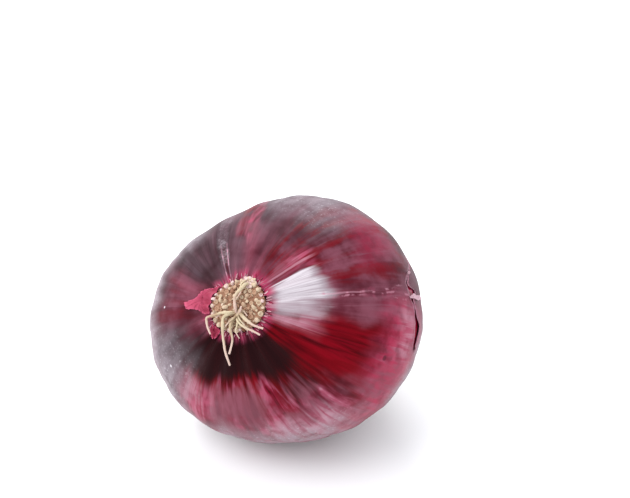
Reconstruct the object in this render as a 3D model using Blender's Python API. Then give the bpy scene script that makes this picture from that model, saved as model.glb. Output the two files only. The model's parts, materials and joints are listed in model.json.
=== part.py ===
"""A red onion lying on its belly, with its root end raised towards -Y and its dry neck propped behind.

Metres, +Z up, with the origin under the middle of the onion, on the surface that it lies on.
The shapes are worked out in the onion's own frame, whose Z axis runs from the neck to the root end, and an
empty places that frame. Across the axis a place is given by its turn, counted from +X, and along a meridian
by its polar angle, which is 0 at the root pole and 180 degrees at the neck.
"""

import math

import bpy
import numpy as np
from mathutils import Euler

# The bulb as a globe: its half width, its height from the equator to the root end, and the dry neck's reach
MEAN_RADIUS = 0.0396
ROOT_HEIGHT = 0.0348
BELLY_HEIGHT = 0.0372
NECK_REACH = 0.0523
NECK_RADIUS = 0.0047
GLOBE_POWER = 2.12

# An onion's section isn't round: the waves round it, each with its share of the radius and where it peaks
SECTION_WAVES = ((2, 0.071, 36.0), (3, 0.015, 87.0), (4, 0.008, 0.0), (5, 0.004, 28.0))
WAVES_FADE_FROM = 100.0
WAVES_FADE_TO = 150.0

# Where the onion lies: the root end's rise above the horizon, and the middle of the bulb
ROOT_RISE = 42.6
BULB_MIDDLE = (0.00025, -0.00186, 0.0381)

# The layers: the papery skin, and the gap to the bulb inside it
SKIN = 0.0006
SKIN_GAP = 0.0004
BULB_INSET = SKIN + SKIN_GAP

# The pleats that gather the skin at the root plate and at the neck
PLEATS = 18
PLEAT_DEPTH_ROOT = 0.00034
PLEAT_DEPTH_BODY = 0.00016
PLEAT_DEPTH_NECK = 0.00060

# The root plate: a corky disc, a little domed, in the skin's opening
PLATE_RADIUS = 0.0079
PLATE_THICKNESS = 0.0030
PLATE_RISE = 0.0011
PLATE_DOME = 0.0009
PLATE_GAP = 0.0004
PLATE_COLUMNS = 36
SKIN_OPENS_AT = 12.6

# The stubs of broken roots that cover the plate, and the paler nubs round its rim
STUBS = 66
STUB_FIELD = 0.0067
STUB_RADIUS = 0.00056
STUB_HEIGHT = 0.0008
RIM_NUBS = 25
NUB_PLACE = 0.0072
NUB_RADIUS = 0.00048
NUB_LEAN = 34.0
PEG_SUNK = 0.0011
PEG_SIDES = 5
GOLDEN_TURN = 137.508
STUB_SEED = 11

# The tear in the skin: for each turn, the polar angles of its two lips, in degrees
TEAR = (
    (52.0, 99.0, 100.2),
    (47.0, 97.0, 98.4),
    (42.0, 91.0, 92.6),
    (37.0, 84.0, 85.6),
    (33.0, 82.2, 85.0),
    (30.0, 84.4, 90.0),
    (25.0, 88.0, 89.6),
    (20.0, 90.2, 92.4),
    (15.0, 91.4, 93.4),
    (10.0, 93.8, 95.2),
    (7.0, 96.0, 97.2),
)
LIP_LIFT = 0.0007
LIP_REACH = 16.0

# The mesh of the skin and of the bulb
SKIN_COLUMNS = 72
SKIN_ROWS = 31
BULB_COLUMNS = 48
BULB_ROWS = 22
PROFILE_STEPS = 400

# The dried roots on the plate, as points (across, up, along the axis) in millimetres, thick end first
ROOT_ROUTES = (
    ((1.6, -1.6, 34.6), (0.4, -2.2, 36.4), (-2.2, -3.2, 37.8), (-4.5, -4.7, 37.7), (-6.9, -6.2, 37.1),
     (-6.8, -7.4, 36.6), (-6.1, -8.6, 36.5), (-4.4, -10.4, 36.3)),
    ((0.8, -2.0, 34.4), (-0.6, -2.8, 36.6), (-1.7, -4.4, 37.6), (-1.1, -6.7, 37.5), (-0.2, -9.5, 36.7),
     (0.8, -11.7, 36.0), (1.7, -13.7, 35.2), (3.6, -16.7, 33.5)),
    ((1.0, -2.8, 34.6), (0.9, -4.9, 37.0), (1.5, -7.1, 37.2), (2.8, -9.0, 36.7), (3.1, -11.0, 36.1),
     (2.9, -13.6, 35.1)),
    ((1.2, -0.6, 34.6), (2.2, -1.2, 37.2), (3.9, -2.1, 37.9), (5.9, -2.9, 37.6), (8.0, -3.4, 37.1),
     (10.6, -3.3, 36.2)),
    ((1.0, -2.6, 34.6), (2.2, -3.6, 36.8), (4.0, -4.5, 37.4), (6.2, -4.9, 37.1), (8.2, -5.0, 36.6),
     (10.2, -5.3, 35.8)),
    ((0.8, 7.2, 34.4), (0.7, 6.6, 36.9), (0.4, 5.2, 37.6), (-0.3, 3.6, 37.9), (-0.4, 1.8, 37.9),
     (0.4, -0.2, 37.5), (1.0, -2.0, 36.0)),
    ((1.2, -2.8, 34.6), (2.0, -2.4, 37.0), (2.8, -1.1, 38.2), (3.2, 0.3, 39.4)),
)
ROOT_THICK = 0.00058
ROOT_THIN = 0.00036
ROOT_SIDES = 6
ROOT_STEPS = 2

# Scraps of an older skin that cling to the root plate: outlines as (turn, polar angle) in degrees
SCRAP_OUTLINES = (
    ((156.0, 12.8), (165.0, 14.2), (173.0, 16.4), (183.0, 18.2), (191.0, 20.6), (196.0, 24.2), (202.0, 22.8),
     (202.5, 19.4), (204.5, 17.0), (211.0, 15.4), (213.0, 13.4), (205.0, 12.8), (180.0, 12.6)),
    ((231.0, 13.4), (240.0, 15.2), (248.0, 17.6), (254.0, 16.0), (255.0, 13.2), (243.0, 12.7)),
)
SCRAP_LIFT = 0.0004
SCRAP_CURL = 0.0009
SCRAP_CURLS_FROM = 17.0
SCRAP_CURLS_TO = 27.0
SCRAP_RINGS = 4
SCRAP_STEPS = 3

# Colours, as linear red, green and blue
RED_SKIN = (0.23, 0.012, 0.030)
INNER_SKIN = (0.16, 0.006, 0.020)
SCRAP_SKIN = (0.42, 0.070, 0.120)
DRY_ROOT = (0.62, 0.47, 0.30)


def smooth_step(value, low, high):
    """0 below low and 1 above high, with a smooth rise between them."""
    share = np.clip((value - low) / (high - low), 0.0, 1.0)
    return share * share * (3.0 - 2.0 * share)


def globe_point(polar, height):
    """Radius and height, as shares of the half width, on a globe a little squarer than an ellipse."""
    across, along = np.sin(polar), np.cos(polar)
    size = (np.abs(across) ** GLOBE_POWER + np.abs(along) ** GLOBE_POWER) ** (-1.0 / GLOBE_POWER)
    return across * size, along * size * height / MEAN_RADIUS


def meridian():
    """The bulb's outline, from the root pole to the neck's end: polar angle, radius, height and length."""
    shoulder = math.radians(134.0)
    root_side = np.linspace(0.0, math.pi / 2, PROFILE_STEPS)
    radius_a, height_a = globe_point(root_side, ROOT_HEIGHT)
    belly = np.linspace(math.pi / 2, shoulder, PROFILE_STEPS)[1:]
    radius_b, height_b = globe_point(belly, BELLY_HEIGHT)
    # From the shoulder the outline runs in one Bezier curve into the neck, then straight to its end.
    start = np.array([radius_b[-1], height_b[-1]])
    slope = start - np.array([radius_b[-2], height_b[-2]])
    slope /= np.linalg.norm(slope)
    base = np.array([NECK_RADIUS * 1.15, -NECK_REACH * 0.84]) / MEAN_RADIUS
    share = np.linspace(0.0, 1.0, PROFILE_STEPS)[1:, None]
    bezier = (
        (1 - share) ** 3 * start
        + 3 * (1 - share) ** 2 * share * (start + slope * 0.34)
        + 3 * (1 - share) * share**2 * (base + np.array([0.03, 0.30]))
        + share**3 * base
    )
    tip = np.array([NECK_RADIUS, -NECK_REACH]) / MEAN_RADIUS
    neck = base + np.linspace(0.0, 1.0, PROFILE_STEPS // 4)[1:, None] * (tip - base)
    radius = np.concatenate([radius_a, radius_b, bezier[:, 0], neck[:, 0]])
    height = np.concatenate([height_a, height_b, bezier[:, 1], neck[:, 1]])
    polar = np.degrees(np.arctan2(radius, height * MEAN_RADIUS / ROOT_HEIGHT))
    steps = np.hypot(np.diff(radius), np.diff(height)) * MEAN_RADIUS
    length = np.concatenate([[0.0], np.cumsum(steps)])
    return polar, radius, height, length


POLAR, RADIUS, HEIGHT, LENGTH = meridian()


def section(turn, polar):
    """The section's radius at a turn, as a share of the mean radius. The neck is round, pinched flat."""
    uneven = np.ones_like(turn)
    for count, share, peak in SECTION_WAVES:
        uneven = uneven + share * np.cos(count * np.radians(turn - peak))
    pinched = 1.0 + 0.24 * np.cos(2 * np.radians(turn - 20.0))
    in_neck = smooth_step(polar, WAVES_FADE_FROM, WAVES_FADE_TO)
    at_end = smooth_step(polar, 164.0, 172.0)
    return (uneven * (1 - in_neck) + in_neck) * (1 - at_end) + pinched * at_end


def pleat_depth(polar):
    """How deep the pleats are: they fade over the belly and gather at both ends."""
    at_root = 1.0 - smooth_step(polar, 14.0, 42.0)
    at_neck = smooth_step(polar, 128.0, 160.0)
    return PLEAT_DEPTH_BODY + PLEAT_DEPTH_ROOT * at_root + PLEAT_DEPTH_NECK * at_neck


def pleat(turn, polar):
    """How far the skin stands out at a point of its pleats, or in, where it is below 0."""
    wander = 24.0 * np.sin(np.radians(3 * turn + 40.0)) + 11.0 * np.sin(np.radians(7 * turn))
    return np.cos(np.radians(PLEATS * turn + wander)) * pleat_depth(polar)


def tear_lips(turn):
    """The polar angles of the tear's two lips at a turn, and how open it is there, from 0 to 1."""
    table = np.array(TEAR[::-1])
    near = np.interp(turn, table[:, 0], table[:, 1])
    far = np.interp(turn, table[:, 0], table[:, 2])
    inside = smooth_step(turn, TEAR[-1][0] - 1.0, 8.0) * (1.0 - smooth_step(turn, 44.0, TEAR[0][0] + 1.0))
    return near, far, inside


def wrapped(turn):
    """A turn in degrees, brought between -180 and 180."""
    return (np.asarray(turn, float) + 180.0) % 360.0 - 180.0


def lip_lift(turn, polar):
    """How far the skin past the tear stands off the bulb."""
    near, far, open_share = tear_lips(turn)
    past = polar - (near + far) / 2
    falls = np.exp(-np.clip(past, 0.0, None) / LIP_REACH * 2.2)
    strongest = 1.0 - smooth_step(np.abs(turn - 17.0), 4.0, 24.0)
    return LIP_LIFT * open_share * strongest * falls * smooth_step(past, -0.6, 0.6)


def skin_points(turn, polar, inset=0.0, folds=1.0):
    """Points of the skin's outer face in the onion's own frame, or of a surface inset below it."""
    turn, polar = wrapped(turn), np.asarray(polar, float)
    radius = np.interp(polar, POLAR, RADIUS) * MEAN_RADIUS * section(turn, polar)
    height = np.interp(polar, POLAR, HEIGHT) * MEAN_RADIUS
    step = 0.4
    run = np.interp(polar + step, POLAR, RADIUS) - np.interp(polar - step, POLAR, RADIUS)
    drop = np.interp(polar + step, POLAR, HEIGHT) - np.interp(polar - step, POLAR, HEIGHT)
    size = np.maximum(np.hypot(run, drop), 1e-9)
    out_across, out_along = -drop / size, run / size
    stand = folds * (pleat(turn, polar) + lip_lift(turn, polar)) - inset
    radius = radius + stand * out_across
    height = height + stand * out_along
    angle = np.radians(turn)
    return np.stack([radius * np.cos(angle), radius * np.sin(angle), height], -1)


def rest_on_surface(points, above):
    """Flattens points where they would reach below the surface that the onion lies on."""
    turned = np.array(Euler((math.radians(90.0 - ROOT_RISE), 0.0, 0.0)).to_matrix())
    world = points @ turned.T + np.array(BULB_MIDDLE)
    world[..., 2] = np.maximum(world[..., 2], above)
    return (world - np.array(BULB_MIDDLE)) @ turned


def even_rows(first, last, count):
    """Polar angles that split the meridian between two of them into even steps of length."""
    ends = np.interp([first, last], POLAR, LENGTH)
    return np.interp(np.linspace(ends[0], ends[1], count), LENGTH, POLAR)


def material(name, colour, roughness):
    """A plain finish for one kind of piece."""
    made = bpy.data.materials.new(name)
    made.use_nodes = True
    shader = made.node_tree.nodes["Principled BSDF"]
    shader.inputs["Base Color"].default_value = (*colour, 1.0)
    shader.inputs["Roughness"].default_value = roughness
    shader.inputs["Metallic"].default_value = 0.0
    return made


def add_object(name, mesh, finish, frame):
    """Links a mesh as a named piece in the onion's frame, with its finish."""
    mesh.materials.append(finish)
    mesh.shade_smooth()
    mesh.set_sharp_from_angle(angle=math.radians(50.0))
    made = bpy.data.objects.new(name, mesh)
    bpy.context.scene.collection.objects.link(made)
    made.parent = frame
    return made


def mesh_from(name, points, faces):
    """A mesh from an array of points and a list of faces."""
    mesh = bpy.data.meshes.new(name)
    mesh.from_pydata([tuple(p) for p in points.reshape(-1, 3)], [], faces)
    mesh.update()
    return mesh


def grid_faces(rows, columns, left_out=()):
    """Faces of a grid that closes on itself round each row, facing out, without the named cells."""
    faces = []
    for i in range(rows - 1):
        for j in range(columns):
            if (i, j) in left_out:
                continue
            k = (j + 1) % columns
            faces.append((i * columns + j, (i + 1) * columns + j, (i + 1) * columns + k, i * columns + k))
    return faces


def thicken(piece, offset):
    """Gives a sheet the skin's thickness, inwards or outwards. Its faces are split alike on both sides."""
    piece.modifiers.new("split", "TRIANGULATE")
    sheet = piece.modifiers.new("thickness", "SOLIDIFY")
    sheet.thickness = SKIN
    sheet.offset = offset
    sheet.use_even_offset = False


def make_outer_skin(frame):
    """The papery skin: one thin shell, open at the root plate, torn on its right side, ragged at the neck."""
    turns = np.arange(SKIN_COLUMNS) * 360.0 / SKIN_COLUMNS
    above_tear = 13
    rows = np.concatenate([
        even_rows(SKIN_OPENS_AT, 89.0, above_tear),
        even_rows(97.0, POLAR[-1], SKIN_ROWS - above_tear),
    ])
    turn_grid, polar_grid = np.meshgrid(turns, rows)
    # Near the tear, one row follows each of its lips, and the cells between them are left out.
    near, far, _ = tear_lips(wrapped(turn_grid))
    nearness = 1.0 - smooth_step(np.abs(wrapped(turn_grid - 27.0)), 26.0, 46.0)
    row_index = np.arange(len(rows))[:, None]
    reach = 1.0 - smooth_step(np.abs(row_index - above_tear + 0.5), 0.5, 5.5)
    shift = np.where(row_index < above_tear, near - rows[above_tear - 1], far - rows[above_tear])
    polar_grid = polar_grid + shift * nearness * reach
    ragged = 0.9 * np.sin(np.radians(turns * 5.0)) + 0.6 * np.sin(np.radians(turns * 11.0 + 50.0))
    polar_grid[-1] = polar_grid[-1] - 0.3 - 0.16 * ragged
    torn = {
        (above_tear - 1, j)
        for j in range(SKIN_COLUMNS)
        if TEAR[-1][0] < wrapped(turns[j] + 180.0 / SKIN_COLUMNS) < TEAR[0][0]
    }
    points = rest_on_surface(skin_points(turn_grid, polar_grid), 0.0)
    mesh = mesh_from("outer_skin", points, grid_faces(len(rows), SKIN_COLUMNS, torn))
    skin = add_object("outer_skin", mesh, material("red_skin", RED_SKIN, 0.35), frame)
    thicken(skin, offset=-1.0)
    return skin


def closed_mesh(name, rings, first, last=None):
    """A mesh from rings of points, run together at an end point before them and, if given, one after them."""
    count, columns = rings.shape[:2]
    ends = [first] if last is None else [first, last]
    faces = grid_faces(count, columns)
    points = np.concatenate([rings.reshape(-1, 3), ends])
    for j in range(columns):
        k = (j + 1) % columns
        faces.append((count * columns, j, k))
        if last is not None:
            faces.append((count * columns + 1, (count - 1) * columns + k, (count - 1) * columns + j))
    return mesh_from(name, points, faces)


def make_bulb(frame):
    """The fleshy bulb inside the skin, with a seat for the root plate and a core that runs into the neck."""
    turns = np.arange(BULB_COLUMNS) * 360.0 / BULB_COLUMNS
    turn_grid, polar_grid = np.meshgrid(turns, even_rows(SKIN_OPENS_AT + 3.0, 172.0, BULB_ROWS))
    points = skin_points(turn_grid, polar_grid, inset=BULB_INSET + pleat_depth(polar_grid), folds=0.0)
    points[..., :2] *= (1.0 - 0.22 * smooth_step(polar_grid, 160.0, 170.0))[..., None]
    points = rest_on_surface(points, BULB_INSET + 0.0002)
    seat_height = ROOT_HEIGHT + PLATE_RISE - PLATE_THICKNESS - PLATE_GAP
    seat = plate_ring(turns, PLATE_RADIUS + PLATE_GAP, seat_height)
    rings = np.concatenate([seat[None], points])
    end = points[-1].mean(0) - np.array([0.0, 0.0, 0.001])
    mesh = closed_mesh("bulb", rings, (0.0, 0.0, seat_height), end)
    return add_object("bulb", mesh, material("inner_skin", INNER_SKIN, 0.30), frame)


def plate_ring(turns, radius, height):
    """A ring of points round the axis, as uneven as the onion's own section."""
    reach = radius * section(wrapped(turns), np.full(len(turns), SKIN_OPENS_AT))
    angles = np.radians(turns)
    return np.stack([reach * np.cos(angles), reach * np.sin(angles), np.full(len(turns), height)], -1)


def plate_top(radius):
    """The height of the plate's domed face at a distance from the axis."""
    return ROOT_HEIGHT + PLATE_RISE - PLATE_DOME * (radius / PLATE_RADIUS) ** 2


def smooth_path(corners, steps):
    """Points of a smooth curve through the corners, with so many steps between two of them."""
    corners = np.asarray(corners, float)
    padded = np.vstack([2 * corners[0] - corners[1], corners, 2 * corners[-1] - corners[-2]])
    points = []
    for before, start, end, after in zip(padded, padded[1:], padded[2:], padded[3:]):
        for share in np.arange(steps) / steps:
            bend = 2 * before - 5 * start + 4 * end - after
            twist = 3 * (start - end) + after - before
            points.append(start + 0.5 * share * (end - before + share * (bend + share * twist)))
    return np.array(points + [corners[-1]])


def tube_mesh(name, path, radii, sides):
    """A closed tube along a path, with a radius for each of its points and a blunt tip."""
    ahead = np.gradient(path, axis=0)
    ahead /= np.linalg.norm(ahead, axis=1)[:, None]
    angles = np.arange(sides)[:, None] * 2.0 * math.pi / sides
    side = np.array([0.31, 0.87, 0.38])
    rings = []
    for point, way, radius in zip(path, ahead, radii):
        side = side - way * (side @ way)
        side /= np.linalg.norm(side)
        rings.append(point + radius * (np.cos(angles) * side + np.sin(angles) * np.cross(way, side)))
    tip = path[-1] + ahead[-1] * radii[-1] * 0.4
    return closed_mesh(name, np.array(rings[::-1]), tip, path[0])


def peg_mesh(name, place, lean, radius, height):
    """A short round-topped peg that stands out of the plate at (turn, distance), leaning outwards."""
    turn, distance = np.radians(place[0]), place[1]
    out = np.array([math.cos(turn), math.sin(turn), 0.0])
    reach = distance * float(section(wrapped(place[0]), np.array(SKIN_OPENS_AT)))
    foot = out * reach + np.array([0.0, 0.0, plate_top(distance)])
    up = out * math.sin(math.radians(lean)) + np.array([0.0, 0.0, math.cos(math.radians(lean))])
    path = foot + up * np.array([[-PEG_SUNK], [0.6 * height], [height]])
    return tube_mesh(name, path, radius * np.array([0.9, 1.05, 0.6]), PEG_SIDES)


def plate_pegs():
    """Meshes of all the stubs, in a sunflower's order over the plate, and of the nubs round its rim."""
    draw = np.random.default_rng(STUB_SEED)
    pegs = []
    for number in range(STUBS):
        distance = STUB_FIELD * math.sqrt((number + 0.4) / STUBS)
        turn = number * GOLDEN_TURN + draw.uniform(-4.0, 4.0)
        radius = STUB_RADIUS * draw.uniform(0.8, 1.15)
        height = STUB_HEIGHT * draw.uniform(0.5, 1.15)
        lean = draw.uniform(-8.0, 22.0)
        pegs.append(peg_mesh(f"stub_{number}", (turn, distance), lean, radius, height))
    for number in range(RIM_NUBS):
        turn = number * 360.0 / RIM_NUBS + draw.uniform(-3.0, 3.0)
        radius = NUB_RADIUS * draw.uniform(0.85, 1.1)
        height = STUB_HEIGHT * draw.uniform(0.7, 1.0)
        lean = NUB_LEAN + draw.uniform(-6.0, 8.0)
        pegs.append(peg_mesh(f"nub_{number}", (turn, NUB_PLACE), lean, radius, height))
    return pegs


def root_meshes():
    """Meshes of the dried roots, each a tapered strand that starts inside the plate."""
    roots = []
    for number, route in enumerate(ROOT_ROUTES):
        path = smooth_path(np.array(route) * 0.001, ROOT_STEPS)
        radii = np.linspace(ROOT_THICK, ROOT_THIN, len(path))
        roots.append(tube_mesh(f"root_{number}", path, radii, ROOT_SIDES))
    return roots


def make_root_plate(frame):
    """The root plate, with the stubs, the nubs and the dried roots that grew from it fused to it."""
    turns = np.arange(PLATE_COLUMNS) * 360.0 / PLATE_COLUMNS
    under = ROOT_HEIGHT + PLATE_RISE - PLATE_THICKNESS
    outline = [(share * PLATE_RADIUS, plate_top(share * PLATE_RADIUS)) for share in (0.2, 0.45, 0.7, 0.92)]
    outline += [(PLATE_RADIUS, plate_top(PLATE_RADIUS) - 0.0004), (PLATE_RADIUS, under + 0.0004)]
    outline += [(PLATE_RADIUS - 0.0004, under)]
    rings = np.array([plate_ring(turns, radius, height) for radius, height in outline])
    disc = closed_mesh("root_plate", rings, (0.0, 0.0, plate_top(0.0)), (0.0, 0.0, under))
    plate = add_object("root_plate", disc, material("dry_root", DRY_ROOT, 0.75), frame)
    growths = bpy.data.collections.new("plate_growths")
    bpy.context.scene.collection.children.link(growths)
    for mesh in plate_pegs() + root_meshes():
        growth = bpy.data.objects.new(mesh.name, mesh)
        growth.parent = frame
        growths.objects.link(growth)
    fuse = plate.modifiers.new("growths", "BOOLEAN")
    fuse.operation = "UNION"
    fuse.operand_type = "COLLECTION"
    fuse.collection = growths
    fuse.solver = "MANIFOLD"
    graph = bpy.context.evaluated_depsgraph_get()
    fused = bpy.data.meshes.new_from_object(plate.evaluated_get(graph))
    plate.modifiers.clear()
    plate.data = fused
    for growth in list(growths.objects):
        bpy.data.objects.remove(growth)
    bpy.data.collections.remove(growths)
    return plate


def make_scrap(frame, number, outline, finish):
    """A scrap of an older skin, lying on the outer one and curled up towards its tip."""
    corners = np.array(outline + outline[:1])
    along = np.arange(len(outline) * SCRAP_STEPS) / SCRAP_STEPS
    edge = np.stack([np.interp(along, np.arange(len(corners)), corners[:, axis]) for axis in (0, 1)], -1)
    middle = edge.mean(0)
    shares = np.arange(SCRAP_RINGS + 1)[:, None, None] / SCRAP_RINGS
    places = middle + (edge - middle) * shares
    lift = SCRAP_LIFT + SCRAP_CURL * smooth_step(places[..., 1], SCRAP_CURLS_FROM, SCRAP_CURLS_TO)
    points = skin_points(places[..., 0], places[..., 1], inset=-lift)
    name = f"skin_scrap_{number}"
    scrap = add_object(name, closed_mesh(name, points[1:], points[0, 0]), finish, frame)
    thicken(scrap, offset=1.0)
    return scrap


def main():
    """Clears the scene and builds the onion."""
    for old in list(bpy.data.objects):
        bpy.data.objects.remove(old)
    frame = bpy.data.objects.new("onion_frame", None)
    bpy.context.scene.collection.objects.link(frame)
    frame.location = BULB_MIDDLE
    frame.rotation_euler = (math.radians(90.0 - ROOT_RISE), 0.0, 0.0)
    bpy.context.view_layer.update()
    make_outer_skin(frame)
    make_bulb(frame)
    make_root_plate(frame)
    scrap_finish = material("dry_scrap", SCRAP_SKIN, 0.45)
    for number, outline in enumerate(SCRAP_OUTLINES, 1):
        make_scrap(frame, number, outline, scrap_finish)


main()
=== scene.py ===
"""The looks of a red onion that lies on its belly, built over its plain solids.

Everything is in metres in the row frame: +Z up, with the raised root end towards -Y. A place on the skin is
given by its turn, in degrees from +X round the onion's own axis, and by its polar angle along a meridian,
which is 0 at the root pole and 180 at the neck.
"""

from __future__ import annotations

import json
import logging
import math
from dataclasses import dataclass
from enum import Enum
from functools import cached_property

import bpy
import numpy as np
from mathutils import Euler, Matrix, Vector

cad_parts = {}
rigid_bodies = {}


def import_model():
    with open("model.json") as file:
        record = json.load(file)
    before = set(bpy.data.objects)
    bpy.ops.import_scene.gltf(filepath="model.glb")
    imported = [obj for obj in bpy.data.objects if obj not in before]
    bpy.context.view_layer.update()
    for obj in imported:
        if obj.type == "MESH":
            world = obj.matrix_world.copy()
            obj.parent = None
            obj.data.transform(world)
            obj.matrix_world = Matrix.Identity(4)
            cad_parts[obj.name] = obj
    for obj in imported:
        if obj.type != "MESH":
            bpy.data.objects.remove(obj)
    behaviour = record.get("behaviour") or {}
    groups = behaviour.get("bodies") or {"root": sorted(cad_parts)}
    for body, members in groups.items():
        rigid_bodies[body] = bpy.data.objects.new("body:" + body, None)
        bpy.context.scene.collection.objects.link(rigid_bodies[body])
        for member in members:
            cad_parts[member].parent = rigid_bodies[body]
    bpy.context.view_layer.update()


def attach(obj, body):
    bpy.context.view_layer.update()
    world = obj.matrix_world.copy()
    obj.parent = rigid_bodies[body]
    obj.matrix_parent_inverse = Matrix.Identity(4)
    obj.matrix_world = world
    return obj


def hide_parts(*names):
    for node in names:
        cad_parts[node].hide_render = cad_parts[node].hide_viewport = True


log = logging.getLogger("onion")

Array = np.ndarray
Colour = tuple[float, float, float, float]
Inputs = dict[int | str, object]
Material = bpy.types.Material
Mesh = bpy.types.Mesh
Span = tuple[float, float]
Outline = tuple[Span, ...]
Triple = tuple[float, float, float]
Route = tuple[Triple, ...]
Socket = bpy.types.NodeSocket
Thing = bpy.types.Object
Wave = tuple[float, float, float]
Waves = tuple[Wave, ...]

PLACES = "places"
BODY = "root"

FULL_TURN = 360.0
HALF_TURN = 180.0
MILLIMETRE = 0.001

# The studio makes a surface look this much brighter than its own colour.
STUDIO_LIGHT = 1.5

# How strongly dry plant skin bends light, and how dull its reflection is.
DRY_IOR = 1.4
DULL = 0.3

# How a line on the skin is drawn: its full core, its soft ends and how finely it wavers.
LINE_CORE = 0.4
LINE_START = 2.0
LINE_STOP = 4.0
LINE_WANDER = 160.0


def paint(red: int, green: int, blue: int) -> Colour:
    """The surface colour that looks like a screen colour, from 0 to 255, under the studio's light."""
    shares = (red / 255.0, green / 255.0, blue / 255.0)
    linear = [s / 12.92 if s <= 0.04045 else ((s + 0.055) / 1.055) ** 2.4 for s in shares]
    return (linear[0] / STUDIO_LIGHT, linear[1] / STUDIO_LIGHT, linear[2] / STUDIO_LIGHT, 1.0)


def smooth_step(value: Array | float, low: float, high: float) -> Array:
    """Rises smoothly from 0 at low to 1 at high."""
    share = np.clip((np.asarray(value, float) - low) / (high - low), 0.0, 1.0)
    return share * share * (3.0 - 2.0 * share)


def wrapped(turn: Array | float) -> Array:
    """Brings a turn in degrees between -180 and 180."""
    return (np.asarray(turn, float) + HALF_TURN) % FULL_TURN - HALF_TURN


def even_turns(count: int) -> Array:
    """Turns in even steps round the onion."""
    return np.arange(count) * FULL_TURN / count


def wavering(turn: Array, *waves: Wave) -> Array:
    """Adds up waves round the onion.

    Args:
        turn: Turns in degrees.
        waves: For each wave its size, its count round the onion and its phase in degrees.

    Returns:
        The sum of the waves at each turn.
    """
    return sum(size * np.sin(np.radians(count * turn + phase)) for size, count, phase in waves)


def around_axis(radius: Array | float, angle: Array, height: Array | float) -> Array:
    """Points at a radius, an angle in radians and a height, with their coordinates on the last axis."""
    return np.stack(np.broadcast_arrays(radius * np.cos(angle), radius * np.sin(angle), height), -1)


@dataclass(frozen=True)
class Meridian:
    """The bulb's outline from the root pole to the neck's end.

    Attributes:
        polar: The polar angle of each of its points.
        radius: Their distance from the axis, as a share of the half width.
        height: Their height on the axis, as a share of the half width.
        length: The way along the outline up to them.
    """

    polar: Array
    radius: Array
    height: Array
    length: Array


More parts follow.
